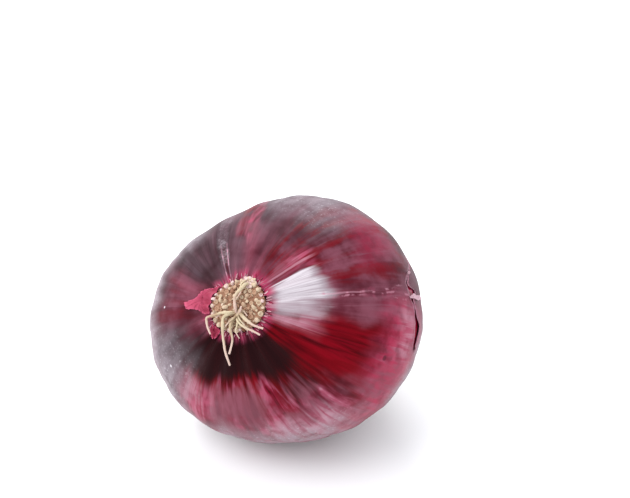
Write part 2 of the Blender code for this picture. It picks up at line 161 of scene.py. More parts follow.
@dataclass(frozen=True)
class OnionForm:
    """The onion's shape, the same as that of its solids. Every surface here is worked out from it.

    Attributes:
        neck_flare: How much wider the neck is where it starts than at its end.
        neck_start: Where the neck turns straight, as a share of its reach.
        shoulder_pull: How far the curve into the neck keeps the shoulder's slope.
        neck_pull: How far the same curve leans on the neck, across and along.
        section_waves: The section's waves: count, share of the radius, and the turn of a peak.
        rounding: The polar angles where the section goes over to a circle.
        root_pleats: The polar angles where the pleats at the root plate fade out.
        tear: The tear's two lips: turn, and the polar angles of the near and the far lip.
        lip_fade: How far beside its highest turn the far lip starts to sink and lies flat, in degrees.
        slope_step: How far to either side a slope is measured, in degrees.
    """

    mean_radius: float = 0.0396
    root_height: float = 0.0348
    belly_height: float = 0.0372
    neck_reach: float = 0.0523
    neck_radius: float = 0.0047
    neck_flare: float = 1.15
    neck_start: float = 0.84
    shoulder_pull: float = 0.34
    neck_pull: Span = (0.03, 0.30)
    globe_power: float = 2.12
    shoulder: float = 134.0
    section_waves: tuple[tuple[int, float, float], ...] = (
        (2, 0.071, 36.0), (3, 0.015, 87.0), (4, 0.008, 0.0), (5, 0.004, 28.0),
    )
    rounding: Span = (100.0, 150.0)
    pinch: float = 0.24
    pinch_turn: float = 20.0
    pinching: Span = (164.0, 172.0)
    pleats: int = 18
    pleat_at_root: float = 0.00034
    pleat_on_body: float = 0.00016
    pleat_at_neck: float = 0.00060
    root_pleats: Span = (14.0, 42.0)
    neck_pleats: Span = (128.0, 160.0)
    pleat_wander: Waves = ((24.0, 3, 40.0), (11.0, 7, 0.0))
    skin_opens_at: float = 12.6
    tear: Route = (
        (7.0, 96.0, 96.5), (9.5, 94.2, 95.0), (13.3, 92.0, 94.2), (16.0, 90.6, 94.4), (18.6, 89.5, 94.2),
        (20.2, 89.2, 90.6), (21.2, 89.0, 89.4), (27.0, 86.4, 86.9), (29.6, 84.6, 86.0), (31.0, 83.6, 91.4),
        (32.4, 83.0, 91.6), (33.4, 82.2, 83.4), (35.0, 82.0, 82.9), (37.0, 84.0, 84.9), (40.0, 87.0, 87.8),
        (42.0, 91.0, 91.8), (45.0, 96.0, 96.7), (48.0, 98.0, 98.6), (52.0, 99.4, 99.9),
    )
    tear_open: Span = (8.0, 44.0)
    lip_lift: float = 0.0007
    lip_reach: float = 16.0
    lip_fall: float = 2.2
    lip_edge: float = 0.6
    lip_turn: float = 17.0
    lip_fade: Span = (4.0, 24.0)
    root_rise: float = 42.6
    middle: Triple = (0.00025, -0.00186, 0.0381)
    steps: int = 400
    slope_step: float = 0.4

    @cached_property
    def turned(self) -> Array:
        """The matrix that turns the onion's own axes into the row frame's."""
        return np.array(Euler((math.radians(90.0 - self.root_rise), 0.0, 0.0)).to_matrix())

    @cached_property
    def meridian(self) -> Meridian:
        """The outline: squarish ellipses on both sides of the equator, and a curve into a straight neck."""
        shoulder = math.radians(self.shoulder)
        radius_a, height_a = self._globe(np.linspace(0.0, math.pi / 2, self.steps), self.root_height)
        below = np.linspace(math.pi / 2, shoulder, self.steps)[1:]
        radius_b, height_b = self._globe(below, self.belly_height)
        start = np.array([radius_b[-1], height_b[-1]])
        slope = start - np.array([radius_b[-2], height_b[-2]])
        slope /= np.linalg.norm(slope)
        base = np.array([self.neck_radius * self.neck_flare, -self.neck_reach * self.neck_start])
        base /= self.mean_radius
        share = np.linspace(0.0, 1.0, self.steps)[1:, None]
        bezier = (
            (1 - share) ** 3 * start
            + 3 * (1 - share) ** 2 * share * (start + slope * self.shoulder_pull)
            + 3 * (1 - share) * share**2 * (base + np.array(self.neck_pull))
            + share**3 * base
        )
        tip = np.array([self.neck_radius, -self.neck_reach]) / self.mean_radius
        neck = base + np.linspace(0.0, 1.0, self.steps // 4)[1:, None] * (tip - base)
        radius = np.concatenate([radius_a, radius_b, bezier[:, 0], neck[:, 0]])
        height = np.concatenate([height_a, height_b, bezier[:, 1], neck[:, 1]])
        polar = np.degrees(np.arctan2(radius, height * self.mean_radius / self.root_height))
        steps = np.hypot(np.diff(radius), np.diff(height)) * self.mean_radius
        return Meridian(polar, radius, height, np.concatenate([[0.0], np.cumsum(steps)]))

    def _globe(self, polar: Array, height: float) -> tuple[Array, Array]:
        """Radius and height, as shares of the half width, on a globe a little squarer than an ellipse."""
        across, along = np.sin(polar), np.cos(polar)
        power = self.globe_power
        size = (np.abs(across) ** power + np.abs(along) ** power) ** (-1.0 / power)
        return across * size, along * size * height / self.mean_radius

    def section(self, turn: Array, polar: Array) -> Array:
        """The section's radius at each turn, as a share of the mean radius."""
        waves = [share * np.cos(count * np.radians(turn - peak)) for count, share, peak in self.section_waves]
        pinched = 1.0 + self.pinch * np.cos(2 * np.radians(turn - self.pinch_turn))
        in_neck = smooth_step(polar, *self.rounding)
        at_end = smooth_step(polar, *self.pinching)
        return ((1.0 + sum(waves)) * (1 - in_neck) + in_neck) * (1 - at_end) + pinched * at_end

    def pleat_depth(self, polar: Array) -> Array:
        """How deep the pleats are at each polar angle."""
        at_root = self.pleat_at_root * (1.0 - smooth_step(polar, *self.root_pleats))
        return self.pleat_on_body + at_root + self.pleat_at_neck * smooth_step(polar, *self.neck_pleats)

    def pleat(self, turn: Array, polar: Array) -> Array:
        """How far the skin stands out, or in where it is below 0, on its pleats."""
        wander = wavering(turn, *self.pleat_wander)
        return np.cos(np.radians(self.pleats * turn + wander)) * self.pleat_depth(polar)

    def lips(self, turn: Array) -> tuple[Array, Array, Array]:
        """The polar angles of the tear's near and far lip at each turn, and how open it is, from 0 to 1."""
        turns, nears, fars = np.array(self.tear).T
        opening = smooth_step(turn, turns[0] - 1.0, self.tear_open[0])
        closing = smooth_step(turn, self.tear_open[1], turns[-1] + 1.0)
        return np.interp(turn, turns, nears), np.interp(turn, turns, fars), opening * (1.0 - closing)

    def lift_of_lip(self, turn: Array, polar: Array) -> Array:
        """How far the skin past the tear stands off the bulb."""
        near, far, open_share = self.lips(turn)
        past = polar - (near + far) / 2
        falls = np.exp(-np.clip(past, 0.0, None) / self.lip_reach * self.lip_fall)
        strongest = 1.0 - smooth_step(np.abs(turn - self.lip_turn), *self.lip_fade)
        begins = smooth_step(past, -self.lip_edge, self.lip_edge)
        return self.lip_lift * open_share * strongest * falls * begins

    def local(self, turn: Array, polar: Array, lift: Array | float = 0.0, folds: float = 1.0) -> Array:
        """Points on the skin, or at a distance from it, in the onion's own frame.

        Args:
            turn: Turns in degrees.
            polar: Polar angles in degrees.
            lift: Distance outwards from the skin's outer face.
            folds: How much of the pleats and of the tear's raised lip to follow.

        Returns:
            The points, with their three coordinates on the last axis.
        """
        turn, polar = wrapped(turn), np.asarray(polar, float)
        radius, height = self._outline_at(polar)
        next_radius, next_height = self._outline_at(polar + self.slope_step)
        last_radius, last_height = self._outline_at(polar - self.slope_step)
        run, drop = next_radius - last_radius, next_height - last_height
        size = np.maximum(np.hypot(run, drop), 1e-9)
        stand = folds * (self.pleat(turn, polar) + self.lift_of_lip(turn, polar)) + lift
        radius = radius * self.mean_radius * self.section(turn, polar) - stand * drop / size
        return around_axis(radius, np.radians(turn), height * self.mean_radius + stand * run / size)

    def _outline_at(self, polar: Array) -> tuple[Array, Array]:
        """The outline's radius and height at each polar angle, as shares of the half width."""
        line = self.meridian
        return np.interp(polar, line.polar, line.radius), np.interp(polar, line.polar, line.height)

    def placed(self, points: Array, floor: float = 0.0) -> Array:
        """Brings points from the onion's own frame to the row frame, no lower than a given height."""
        world = np.asarray(points, float) @ self.turned.T + np.array(self.middle)
        world[..., 2] = np.maximum(world[..., 2], floor)
        return world

    def even_rows(self, first: float, last: float, count: int) -> Array:
        """Polar angles that split the meridian between two of them into even steps of length."""
        ends = np.interp([first, last], self.meridian.polar, self.meridian.length)
        return np.interp(np.linspace(ends[0], ends[1], count), self.meridian.length, self.meridian.polar)

    @property
    def end(self) -> float:
        """The polar angle of the neck's end."""
        return float(self.meridian.polar[-1])


class Wire:
    """A value that runs from one node to the next. It takes plain sums with numbers and other wires."""

    def __init__(self, graph: Graph, socket: Socket) -> None:
        self.graph = graph
        self.socket = socket

    def __add__(self, other: Wire | float) -> Wire:
        return self.graph.math("ADD", self, other)

    def __sub__(self, other: Wire | float) -> Wire:
        return self.graph.math("SUBTRACT", self, other)

    def __mul__(self, other: Wire | float) -> Wire:
        return self.graph.math("MULTIPLY", self, other)

    def swing(self, size: Wire | float) -> Wire:
        """The wire's distance from 0.5, times a size."""
        return (self - 0.5) * size

    def rise(self, low: float, high: float, bottom: float = 0.0, top: float = 1.0) -> Wire:
        """A smooth rise from bottom, where the wire is low, to top, where it is high."""
        inputs = {0: self, 1: low, 2: high, 3: bottom, 4: top}
        return self.graph.wire("ShaderNodeMapRange", inputs, interpolation_type="SMOOTHSTEP")


class Graph:
    """Adds nodes to one tree, with a value or a wire for each input."""

    def __init__(self, tree: bpy.types.NodeTree) -> None:
        self.tree = tree

    def join(self, socket: Socket, value: object) -> None:
        """Runs a wire to a socket, or sets the socket to a plain value."""
        if isinstance(value, Wire):
            self.tree.links.new(value.socket, socket)
        else:
            socket.default_value = value

    def add(self, kind: str, inputs: Inputs | None = None, **settings: object) -> bpy.types.Node:
        """Adds one node.

        Args:
            kind: The node's type.
            inputs: Values or wires for its inputs, by name or number.
            settings: Its other properties.

        Returns:
            The node.
        """
        node = self.tree.nodes.new(kind)
        for name, value in settings.items():
            setattr(node, name, value)
        for key, value in (inputs or {}).items():
            self.join(node.inputs[key], value)
        return node

    def wire(
        self, kind: str, inputs: Inputs | None = None, output: int | str = 0, **settings: object
    ) -> Wire:
        """Adds one node and starts a wire from one of its outputs."""
        return Wire(self, self.add(kind, inputs, **settings).outputs[output])

    def math(self, operation: str, *values: Wire | float) -> Wire:
        """The result of one sum."""
        return self.wire("ShaderNodeMath", dict(enumerate(values)), operation=operation)

    def blend(self, share: Wire | float, first: Wire | Colour, second: Wire | Colour) -> Wire:
        """A colour between two colours."""
        return self.wire("ShaderNodeMix", {0: share, 6: first, 7: second}, output=2, data_type="RGBA")

    def noise(self, vector: Wire, scale: Wire | float, detail: float = 2.0, warp: float = 0.0) -> Wire:
        """Smooth noise about 0.5."""
        inputs = {"Vector": vector, "Scale": scale, "Detail": detail, "Distortion": warp}
        return self.wire("ShaderNodeTexNoise", inputs)


class SurfaceGraph(Graph):
    """A new material's nodes, joined to one Principled shader."""

    def __init__(self, name: str) -> None:
        self.material = bpy.data.materials.new(name)
        self.material.use_nodes = True
        super().__init__(self.material.node_tree)
        self.shader = self.tree.nodes["Principled BSDF"]

    def attribute(self, name: str) -> Wire:
        """A number stored on the mesh."""
        return self.wire("ShaderNodeAttribute", output="Fac", attribute_name=name)

    @cached_property
    def place(self) -> Wire:
        """The point on the object itself."""
        return self.wire("ShaderNodeTexCoord", output="Object")

    @cached_property
    def angles(self) -> tuple[Wire, Wire]:
        """The turn and the polar angle in degrees, read from the piece's own map."""
        split = self.add("ShaderNodeSeparateXYZ", {0: self.wire("ShaderNodeUVMap", uv_map=PLACES)})
        return Wire(self, split.outputs[0]) * FULL_TURN, Wire(self, split.outputs[1]) * HALF_TURN

    def streaks(
        self, around: float, along: float, detail: float = 2.0, shift: float = 0.0, warp: float = 0.0
    ) -> Wire:
        """Noise in streaks along the meridians, which closes round the onion.

        Args:
            around: Streaks to a radian of turn.
            along: Streaks from pole to neck.
            detail: Finer noise added.
            shift: Moves to another stretch of the noise.
            warp: How much the streaks waver.

        Returns:
            A number about 0.5.
        """
        turn, polar = self.angles
        angle = self.math("RADIANS", turn)
        east = self.math("COSINE", angle) * around
        north = self.math("SINE", angle) * around
        rise = polar * (along / HALF_TURN) + shift
        place = self.wire("ShaderNodeCombineXYZ", {0: east, 1: north, 2: rise})
        return self.noise(place, 1.0, detail, warp)

    def line(self, turn: float, width: float, start: float, stop: float, waver: float = 0.0) -> Wire:
        """A narrow line along a meridian.

        Args:
            turn: The line's turn in degrees.
            width: Its half width in degrees of turn.
            start: The polar angle where it starts.
            stop: The polar angle where it stops.
            waver: How far it wanders to the sides, in degrees.

        Returns:
            1 on the line and 0 off it.
        """
        around, along = self.angles
        wander = self.noise(self.place, LINE_WANDER).swing(waver * 2.0)
        off = self.math("ABSOLUTE", around + wander - turn)
        begun = along.rise(start - LINE_START, start + LINE_START)
        unended = along.rise(stop - LINE_STOP, stop + LINE_STOP, 1.0, 0.0)
        return off.rise(width * LINE_CORE, width, 1.0, 0.0) * begun * unended

    def dot(self, turn: float, polar: float, size: float) -> Wire:
        """1 inside a small spot, whose size is in degrees along a meridian, and 0 outside it."""
        around, along = self.angles
        across = (around - turn % FULL_TURN) * math.sin(math.radians(polar))
        apart = self.math("SQRT", across * across + (along - polar) * (along - polar))
        return apart.rise(size * 0.5, size, 1.0, 0.0)

    def ragged(self, area: str, uneven: Wire, low: float, high: float, soft: float, most: float) -> Wire:
        """How much an area of the skin covers, with its edge broken up.

        Args:
            area: The area's name.
            uneven: What is added to the area, about 0.
            low: The sum where the cover starts.
            high: The sum where it is full.
            soft: How much of the area there has to be before it covers fully.
            most: The greatest cover.

        Returns:
            The cover, from 0 to the greatest.
        """
        amount = self.attribute(area)
        return (amount + uneven).rise(low, high) * amount.rise(0.0, soft) * most

    def dress(
        self, colour: Wire | Colour, roughness: Wire | float, ior: float = DRY_IOR, specular: float = DULL
    ) -> None:
        """Sets the shader's colour, roughness and reflection."""
        values = {"Base Color": colour, "Roughness": roughness, "IOR": ior, "Specular IOR Level": specular}
        for name, value in values.items():
            self.join(self.shader.inputs[name], value)

    def emboss(self, height: Wire, depth: float) -> None:
        """Gives the surface a fine relief."""
        bump = self.wire("ShaderNodeBump", {"Height": height, "Strength": 1.0, "Distance": depth})
        self.join(self.shader.inputs["Normal"], bump)


@dataclass(frozen=True)
class SkinGrain:
    """The noises that break up every layer of the skin's colour, from the broadest to the finest."""

    broad: Wire
    band: Wire
    vein: Wire
    fibre: Wire
    cloud: Wire
    mottle: Wire
    speck: Wire


@dataclass(frozen=True)
class SkinFinish:
    """The dry outer skin: a translucent grey-mauve film over deep crimson, streaked along its meridians."""

    deep: Colour = paint(76, 0, 8)
    bright: Colour = paint(122, 2, 17)
    glow: Colour = paint(148, 4, 28)
    black: Colour = paint(34, 12, 15)
    plum: Colour = paint(98, 40, 54)
    mauve: Colour = paint(142, 80, 97)
    slate: Colour = paint(62, 46, 53)
    grey: Colour = paint(98, 82, 91)
    dusk: Colour = paint(136, 82, 94)
    wine: Colour = paint(92, 14, 30)
    crimson: Colour = paint(150, 34, 60)
    rose: Colour = paint(188, 88, 115)
    pale_rose: Colour = paint(212, 152, 170)
    blush: Colour = paint(200, 62, 96)
    silver: Colour = paint(234, 225, 231)
    ash: Colour = paint(182, 168, 176)
    magenta: Colour = paint(192, 60, 102)
    straw: Colour = paint(222, 188, 156)
    husk: Colour = paint(158, 88, 88)
    roughness: float = 0.42
    specular: float = 0.05
    relief: float = 0.00012
    seam: float = 29.5
    strands: Route = ((32.4, 73.0, 81.0), (27.2, 71.0, 80.0), (31.0, 62.0, 69.0), (27.8, 40.0, 52.0))
    slit: float = 133.5

    def build(self) -> Material:
        """Makes the material.

        Returns:
            The material, which reads the areas that SkinMap stores on the mesh.
        """
        g = SurfaceGraph("red_onion_skin")
        clear = g.angles[1].rise(13.0, 40.0, 0.4, 1.0)
        grain = SkinGrain(
            broad=g.streaks(2.6, 2.6, 3.0, warp=0.4),
            band=g.streaks(9.0, 4.0, 3.0, shift=7.0, warp=0.3),
            vein=g.streaks(19.0, 6.0, 4.0, shift=3.0, warp=0.7).swing(clear) + 0.5,
            fibre=g.streaks(60.0, 14.0, 2.0, shift=11.0, warp=0.4),
            cloud=g.noise(g.place, 90.0, 5.0),
            mottle=g.noise(g.place, 260.0, 4.0),
            speck=g.noise(g.place, 1500.0, 2.0),
        )
        colour = self._crimson(g, grain)
        for layer in (self._film, self._streaked, self._film_and_painted_sheen, self._lined, self._marked, self._ends):
            colour = layer(g, grain, colour)
        rough = grain.vein.swing(0.2) + self.roughness
        height = grain.vein * 0.6 + grain.fibre * 0.2 + g.line(self.seam, 1.2, 37.0, 88.0, 1.4) * 0.8
        g.dress(colour, rough, DRY_IOR, self.specular)
        g.emboss(height, self.relief)
        return g.material

    def _crimson(self, g: SurfaceGraph, grain: SkinGrain) -> Wire:
        """The deep crimson of the skin itself, brighter and darker in streaks."""
        colour = g.blend(grain.band.rise(0.4, 0.62), self.deep, self.bright)
        return g.blend(g.attribute("glow") * grain.vein.rise(0.4, 0.66), colour, self.glow)

    def _film(self, g: SurfaceGraph, grain: SkinGrain, colour: Wire) -> Wire:
        """The dull film over the crimson, broken where the skin is bare."""
        film = g.blend((grain.cloud + grain.vein * 0.3).rise(0.5, 0.8), self.plum, self.mauve)
        # Cool grey film, partly a painted reflection of the light above.
        cool = g.blend(grain.cloud.rise(0.35, 0.65), self.slate, self.grey)
        film = g.blend(g.attribute("grey") * grain.broad.rise(0.3, 0.6, 0.7, 1.0), film, cool)
        film = g.blend(grain.vein.rise(0.5, 0.8, 0.0, 0.08), film, self.ash)
        gaps = grain.band * 0.8 + grain.mottle * 0.4
        bare = g.attribute("bare") * gaps.rise(0.42, 0.76) * 0.95
        uneven = (grain.cloud + grain.band - 1.0) * 0.7
        return g.blend(g.ragged("film", uneven - bare, 0.05, 0.85, 0.35, 0.92), colour, film)

    def _streaked(self, g: SurfaceGraph, grain: SkinGrain, colour: Wire) -> Wire:
        """The wine and rose streaks of the lower side, the rose partly a painted reflection of the pale
        floor, and the near-black painted shade and dim reflection under the root plate and the large scrap.
        """
        strand = g.streaks(15.0, 9.0, 2.0, shift=19.0, warp=0.6)
        blotch = strand * 0.62 + grain.vein * 0.12 + grain.mottle * 0.26
        tint = g.blend(blotch.rise(0.37, 0.45), self.wine, self.crimson)
        tint = g.blend(blotch.rise(0.46, 0.57), tint, self.rose)
        tint = g.blend(blotch.rise(0.59, 0.72), tint, self.pale_rose)
        tint = g.blend(grain.cloud.rise(0.40, 0.58, 0.0, 0.8), tint, self.dusk)
        flush = g.blend(grain.vein.rise(0.45, 0.7), self.blush, self.rose)
        colour = g.blend(g.attribute("blush") * grain.mottle.rise(0.3, 0.65, 0.45, 0.95), colour, flush)
        # Rose streaks: skin colour, partly a painted reflection of the pale floor.
        colour = g.blend(g.ragged("rose", strand.swing(1.5), 0.3, 1.1, 0.3, 0.85), colour, tint)
        # Pale pink patches, partly a painted highlight.
        pink = g.blend(grain.vein.rise(0.4, 0.6), self.rose, self.pale_rose)
        colour = g.blend(g.attribute("pink") * grain.mottle.rise(0.3, 0.6, 0.45, 1.0), colour, pink)
        # Near-black painted shade and dim reflection, where the area says so.
        return g.blend(g.ragged("dark", grain.vein.swing(0.7), 0.15, 0.85, 0.4, 0.94), colour, self.black)

    def _film_and_painted_sheen(self, g: SurfaceGraph, grain: SkinGrain, colour: Wire) -> Wire:
        """The pale, thin film round the outline, partly a painted rim reflection, and the silvery patch
        beside the root plate, partly a painted highlight.
        """
        # The pale area round the outline: thin film, partly a painted rim reflection, with silver specks.
        pale = g.attribute("pale") * grain.mottle.rise(0.3, 0.6, 0.5, 1.0)
        pale = pale * grain.vein.rise(0.3, 0.6, 0.7, 1.0)
        colour = g.blend(pale, colour, self.ash)
        colour = g.blend(grain.speck.rise(0.6, 0.7) * g.attribute("pale") * 0.5, colour, self.silver)
        # The silvery patch: silvery film in streaks, partly a painted highlight.
        uneven = (grain.vein * 0.8 + grain.mottle * 0.4 - 0.6) * 0.9
        thread = grain.fibre * 0.5 + grain.vein * 0.5 + (g.attribute("silver") - 1.0) * 0.6
        sheen = g.blend(thread.rise(0.3, 0.66), self.ash, self.silver)
        return g.blend(g.ragged("silver", uneven, 0.1, 0.95, 0.3, 0.97), colour, sheen)

    def _lined(self, g: SurfaceGraph, grain: SkinGrain, colour: Wire) -> Wire:
        """The pale dashes that run from the silvery patch to the tear, along one meridian and beside it."""
        dashes = g.noise(g.place, 420.0, 4.0).rise(0.44, 0.62)
        near_part = g.line(self.seam, 0.7, 34.0, 54.0, 1.0) * dashes.rise(0.0, 1.0, 0.4, 0.95)
        far_part = g.line(self.seam, 0.6, 54.0, 86.0, 1.4) * dashes.rise(0.0, 1.0, 0.05, 0.6)
        colour = g.blend(g.math("MAXIMUM", near_part, far_part), colour, self.pale_rose)
        colour = g.blend(g.line(29.0, 3.0, 34.0, 88.0, 2.4) * dashes * 0.22, colour, self.rose)
        for turn, start, stop in self.strands:
            colour = g.blend(g.line(turn, 0.7, start, stop, 2.0) * dashes * 0.6, colour, self.pale_rose)
        for side in (self.slit - 2.5, self.slit + 2.5):
            lip = g.line(side, 0.9, 15.0, 33.0, 0.8) * dashes.rise(0.0, 1.0, 0.3, 0.85)
            colour = g.blend(lip, colour, self.pale_rose)
        return colour

    def _marked(self, g: SurfaceGraph, grain: SkinGrain, colour: Wire) -> Wire:
        """The narrow slit with its veil of dust, the pale pleats by the root plate, partly painted highlight
        along the silvery patch's edges, and three small spots.
        """
        colour = g.blend(g.line(self.slit, 1.6, 13.0, 31.0) * 0.6, colour, self.wine)
        veil = g.line(134.0, 6.0, 22.0, 66.0, 3.0) * grain.speck.rise(0.35, 0.75, 0.12, 0.5)
        colour = g.blend(veil * grain.mottle.rise(0.4, 0.6, 0.3, 1.0), colour, self.ash)
        # Painted highlight along the silvery patch's upper edge, on a pleat.
        colour = g.blend(g.line(50.5, 1.3, 13.0, 33.0, 0.5) * 0.85, colour, self.silver)
        colour = g.blend(g.line(58.0, 1.4, 15.0, 36.0, 0.8) * 0.55, colour, self.pale_rose)
        colour = g.blend(g.line(5.0, 4.0, 15.0, 29.0, 1.0) * 0.45, colour, self.pale_rose)
        colour = g.blend(g.dot(-128.0, 46.0, 0.8), colour, self.silver)
        colour = g.blend(g.dot(-162.0, 40.0, 0.6), colour, self.silver)
        return g.blend(g.dot(1.2, 70.4, 1.6) * 0.8, colour, self.plum)

    def _ends(self, g: SurfaceGraph, grain: SkinGrain, colour: Wire) -> Wire:
        """The magenta fringe by the root plate, the tear's pale lips and the straw-coloured neck."""
        fringe = g.blend(grain.fibre.rise(0.5, 0.75, 0.0, 0.7), self.magenta, self.pale_rose)
        colour = g.blend(g.attribute("fringe") * grain.band.rise(0.36, 0.6, 0.15, 1.0), colour, fringe)
        colour = g.blend(g.attribute("edge") * grain.fibre.rise(0.2, 0.6, 0.5, 1.0), colour, self.pale_rose)
        straw = g.blend(grain.vein.rise(0.42, 0.62), self.straw, self.husk)
        straw = g.blend(grain.fibre.rise(0.5, 0.7, 0.0, 0.5), straw, self.silver)
        return g.blend(g.ragged("neck", grain.band.swing(1.2), 0.35, 0.9, 0.2, 1.0), colour, straw)


@dataclass(frozen=True)
class FleshFinish:
    """The fleshy scale under the skin: wet, smooth crimson with paler veins."""

    deep: Colour = paint(150, 10, 44)
    light: Colour = paint(190, 62, 100)
    roughness: float = 0.3
    relief: float = 0.0001

    def build(self) -> Material:
        """Makes the material."""
        g = SurfaceGraph("red_onion_flesh")
        vein = g.streaks(24.0, 2.0, 2.0)
        g.dress(g.blend(vein.rise(0.5, 0.75), self.deep, self.light), self.roughness)
        g.emboss(vein, self.relief)
        return g.material


@dataclass(frozen=True)
class CorkFinish:
    """The corky root plate: brown, and browner towards its hollows as painted shade, with tan, peach and
    cream grains.
    """

    name: str
    relief: float = 0.0001
    brown: Colour = paint(146, 96, 74)
    tan: Colour = paint(194, 148, 120)
    cream: Colour = paint(226, 202, 172)
    pink: Colour = paint(238, 208, 202)
    roughness: float = 0.75

    def build(self) -> Material:
        """Makes the material, which goes from brown to cream with the tone stored on the mesh."""
        g = SurfaceGraph(self.name)
        grain = g.noise(g.place, 1500.0, 3.0)
        tone = g.attribute("tone") + g.noise(g.place, 420.0, 2.0).swing(0.5)
        colour = g.blend(tone.rise(0.0, 0.4), self.brown, self.tan)
        colour = g.blend(tone.rise(0.4, 0.95), colour, self.cream)
        colour = g.blend(tone.rise(1.0, 1.4), colour, self.pink)
        colour = g.blend(grain.rise(0.55, 0.8, 0.0, 0.35), colour, self.brown)
        g.dress(colour, self.roughness)
        g.emboss(grain, self.relief)
        return g.material


@dataclass(frozen=True)
class RootFinish:
    """The dried roots: cream fibre, pinker and paler towards the tips."""

    cream: Colour = paint(224, 206, 172)
    shade: Colour = paint(176, 142, 110)
    tip: Colour = paint(238, 204, 194)
    roughness: float = 0.7
    relief: float = 0.00012

    def build(self) -> Material:
        """Makes the material, which reads how far along its root a point is."""
        g = SurfaceGraph("dried_roots")
        grain = g.noise(g.place, 1100.0, 3.0)
        patch = g.noise(g.place, 260.0, 2.0)
        colour = g.blend(patch.rise(0.45, 0.7, 0.0, 0.75), self.cream, self.shade)
        colour = g.blend(g.attribute("along").rise(0.35, 0.95, 0.0, 0.8), colour, self.tip)
        g.dress(colour, self.roughness)
        g.emboss(grain, self.relief)
        return g.material


@dataclass(frozen=True)
class PaperFinish:
    """A scrap of thin dry skin: clear pink paper with fine veins."""

    name: str
    deep: Colour
    light: Colour
    roughness: float = 0.5
    relief: float = 0.00006

    def build(self) -> Material:
        """Makes the material, paler where the stored tone is high."""
        g = SurfaceGraph(self.name)
        fine = g.noise(g.place, 1600.0, 2.0)
        tone = g.attribute("tone") + g.noise(g.place, 330.0, 3.0).swing(0.9)
        g.dress(g.blend(tone.rise(0.0, 1.0), self.deep, self.light), self.roughness)
        g.emboss(fine, self.relief)
        return g.material


@dataclass(frozen=True)
class Patch:
    """A soft-edged area of the skin between two meridians and two rings. All but its strength is in degrees.

    Attributes:
        turn: Its middle round the onion.
        polar: Its middle along the meridian.
        turn_reach: Half its extent round the onion.
        polar_reach: Half its extent along the meridian.
        strength: How fully it covers its middle.
        turn_edge: Half the width of its soft sides.
        polar_edge: Half the width of its soft ends.
        ragged: How far single streaks run past its ends.
    """

    turn: float
    polar: float
    turn_reach: float
    polar_reach: float
    strength: float = 1.0
    turn_edge: float = 8.0
    polar_edge: float = 6.0
    ragged: float = 4.0

    def cover(self, turn: Array, polar: Array, streak: Array) -> Array:
        """How much the patch covers each place, from 0 to its strength."""
        across = np.abs(wrapped(turn - self.turn))
        along = np.abs(polar + self.ragged * streak - self.polar)
        side = 1.0 - smooth_step(across, self.turn_reach - self.turn_edge, self.turn_reach + self.turn_edge)
        end = 1.0 - smooth_step(along, self.polar_reach - self.polar_edge, self.polar_reach + self.polar_edge)
        return self.strength * side * end


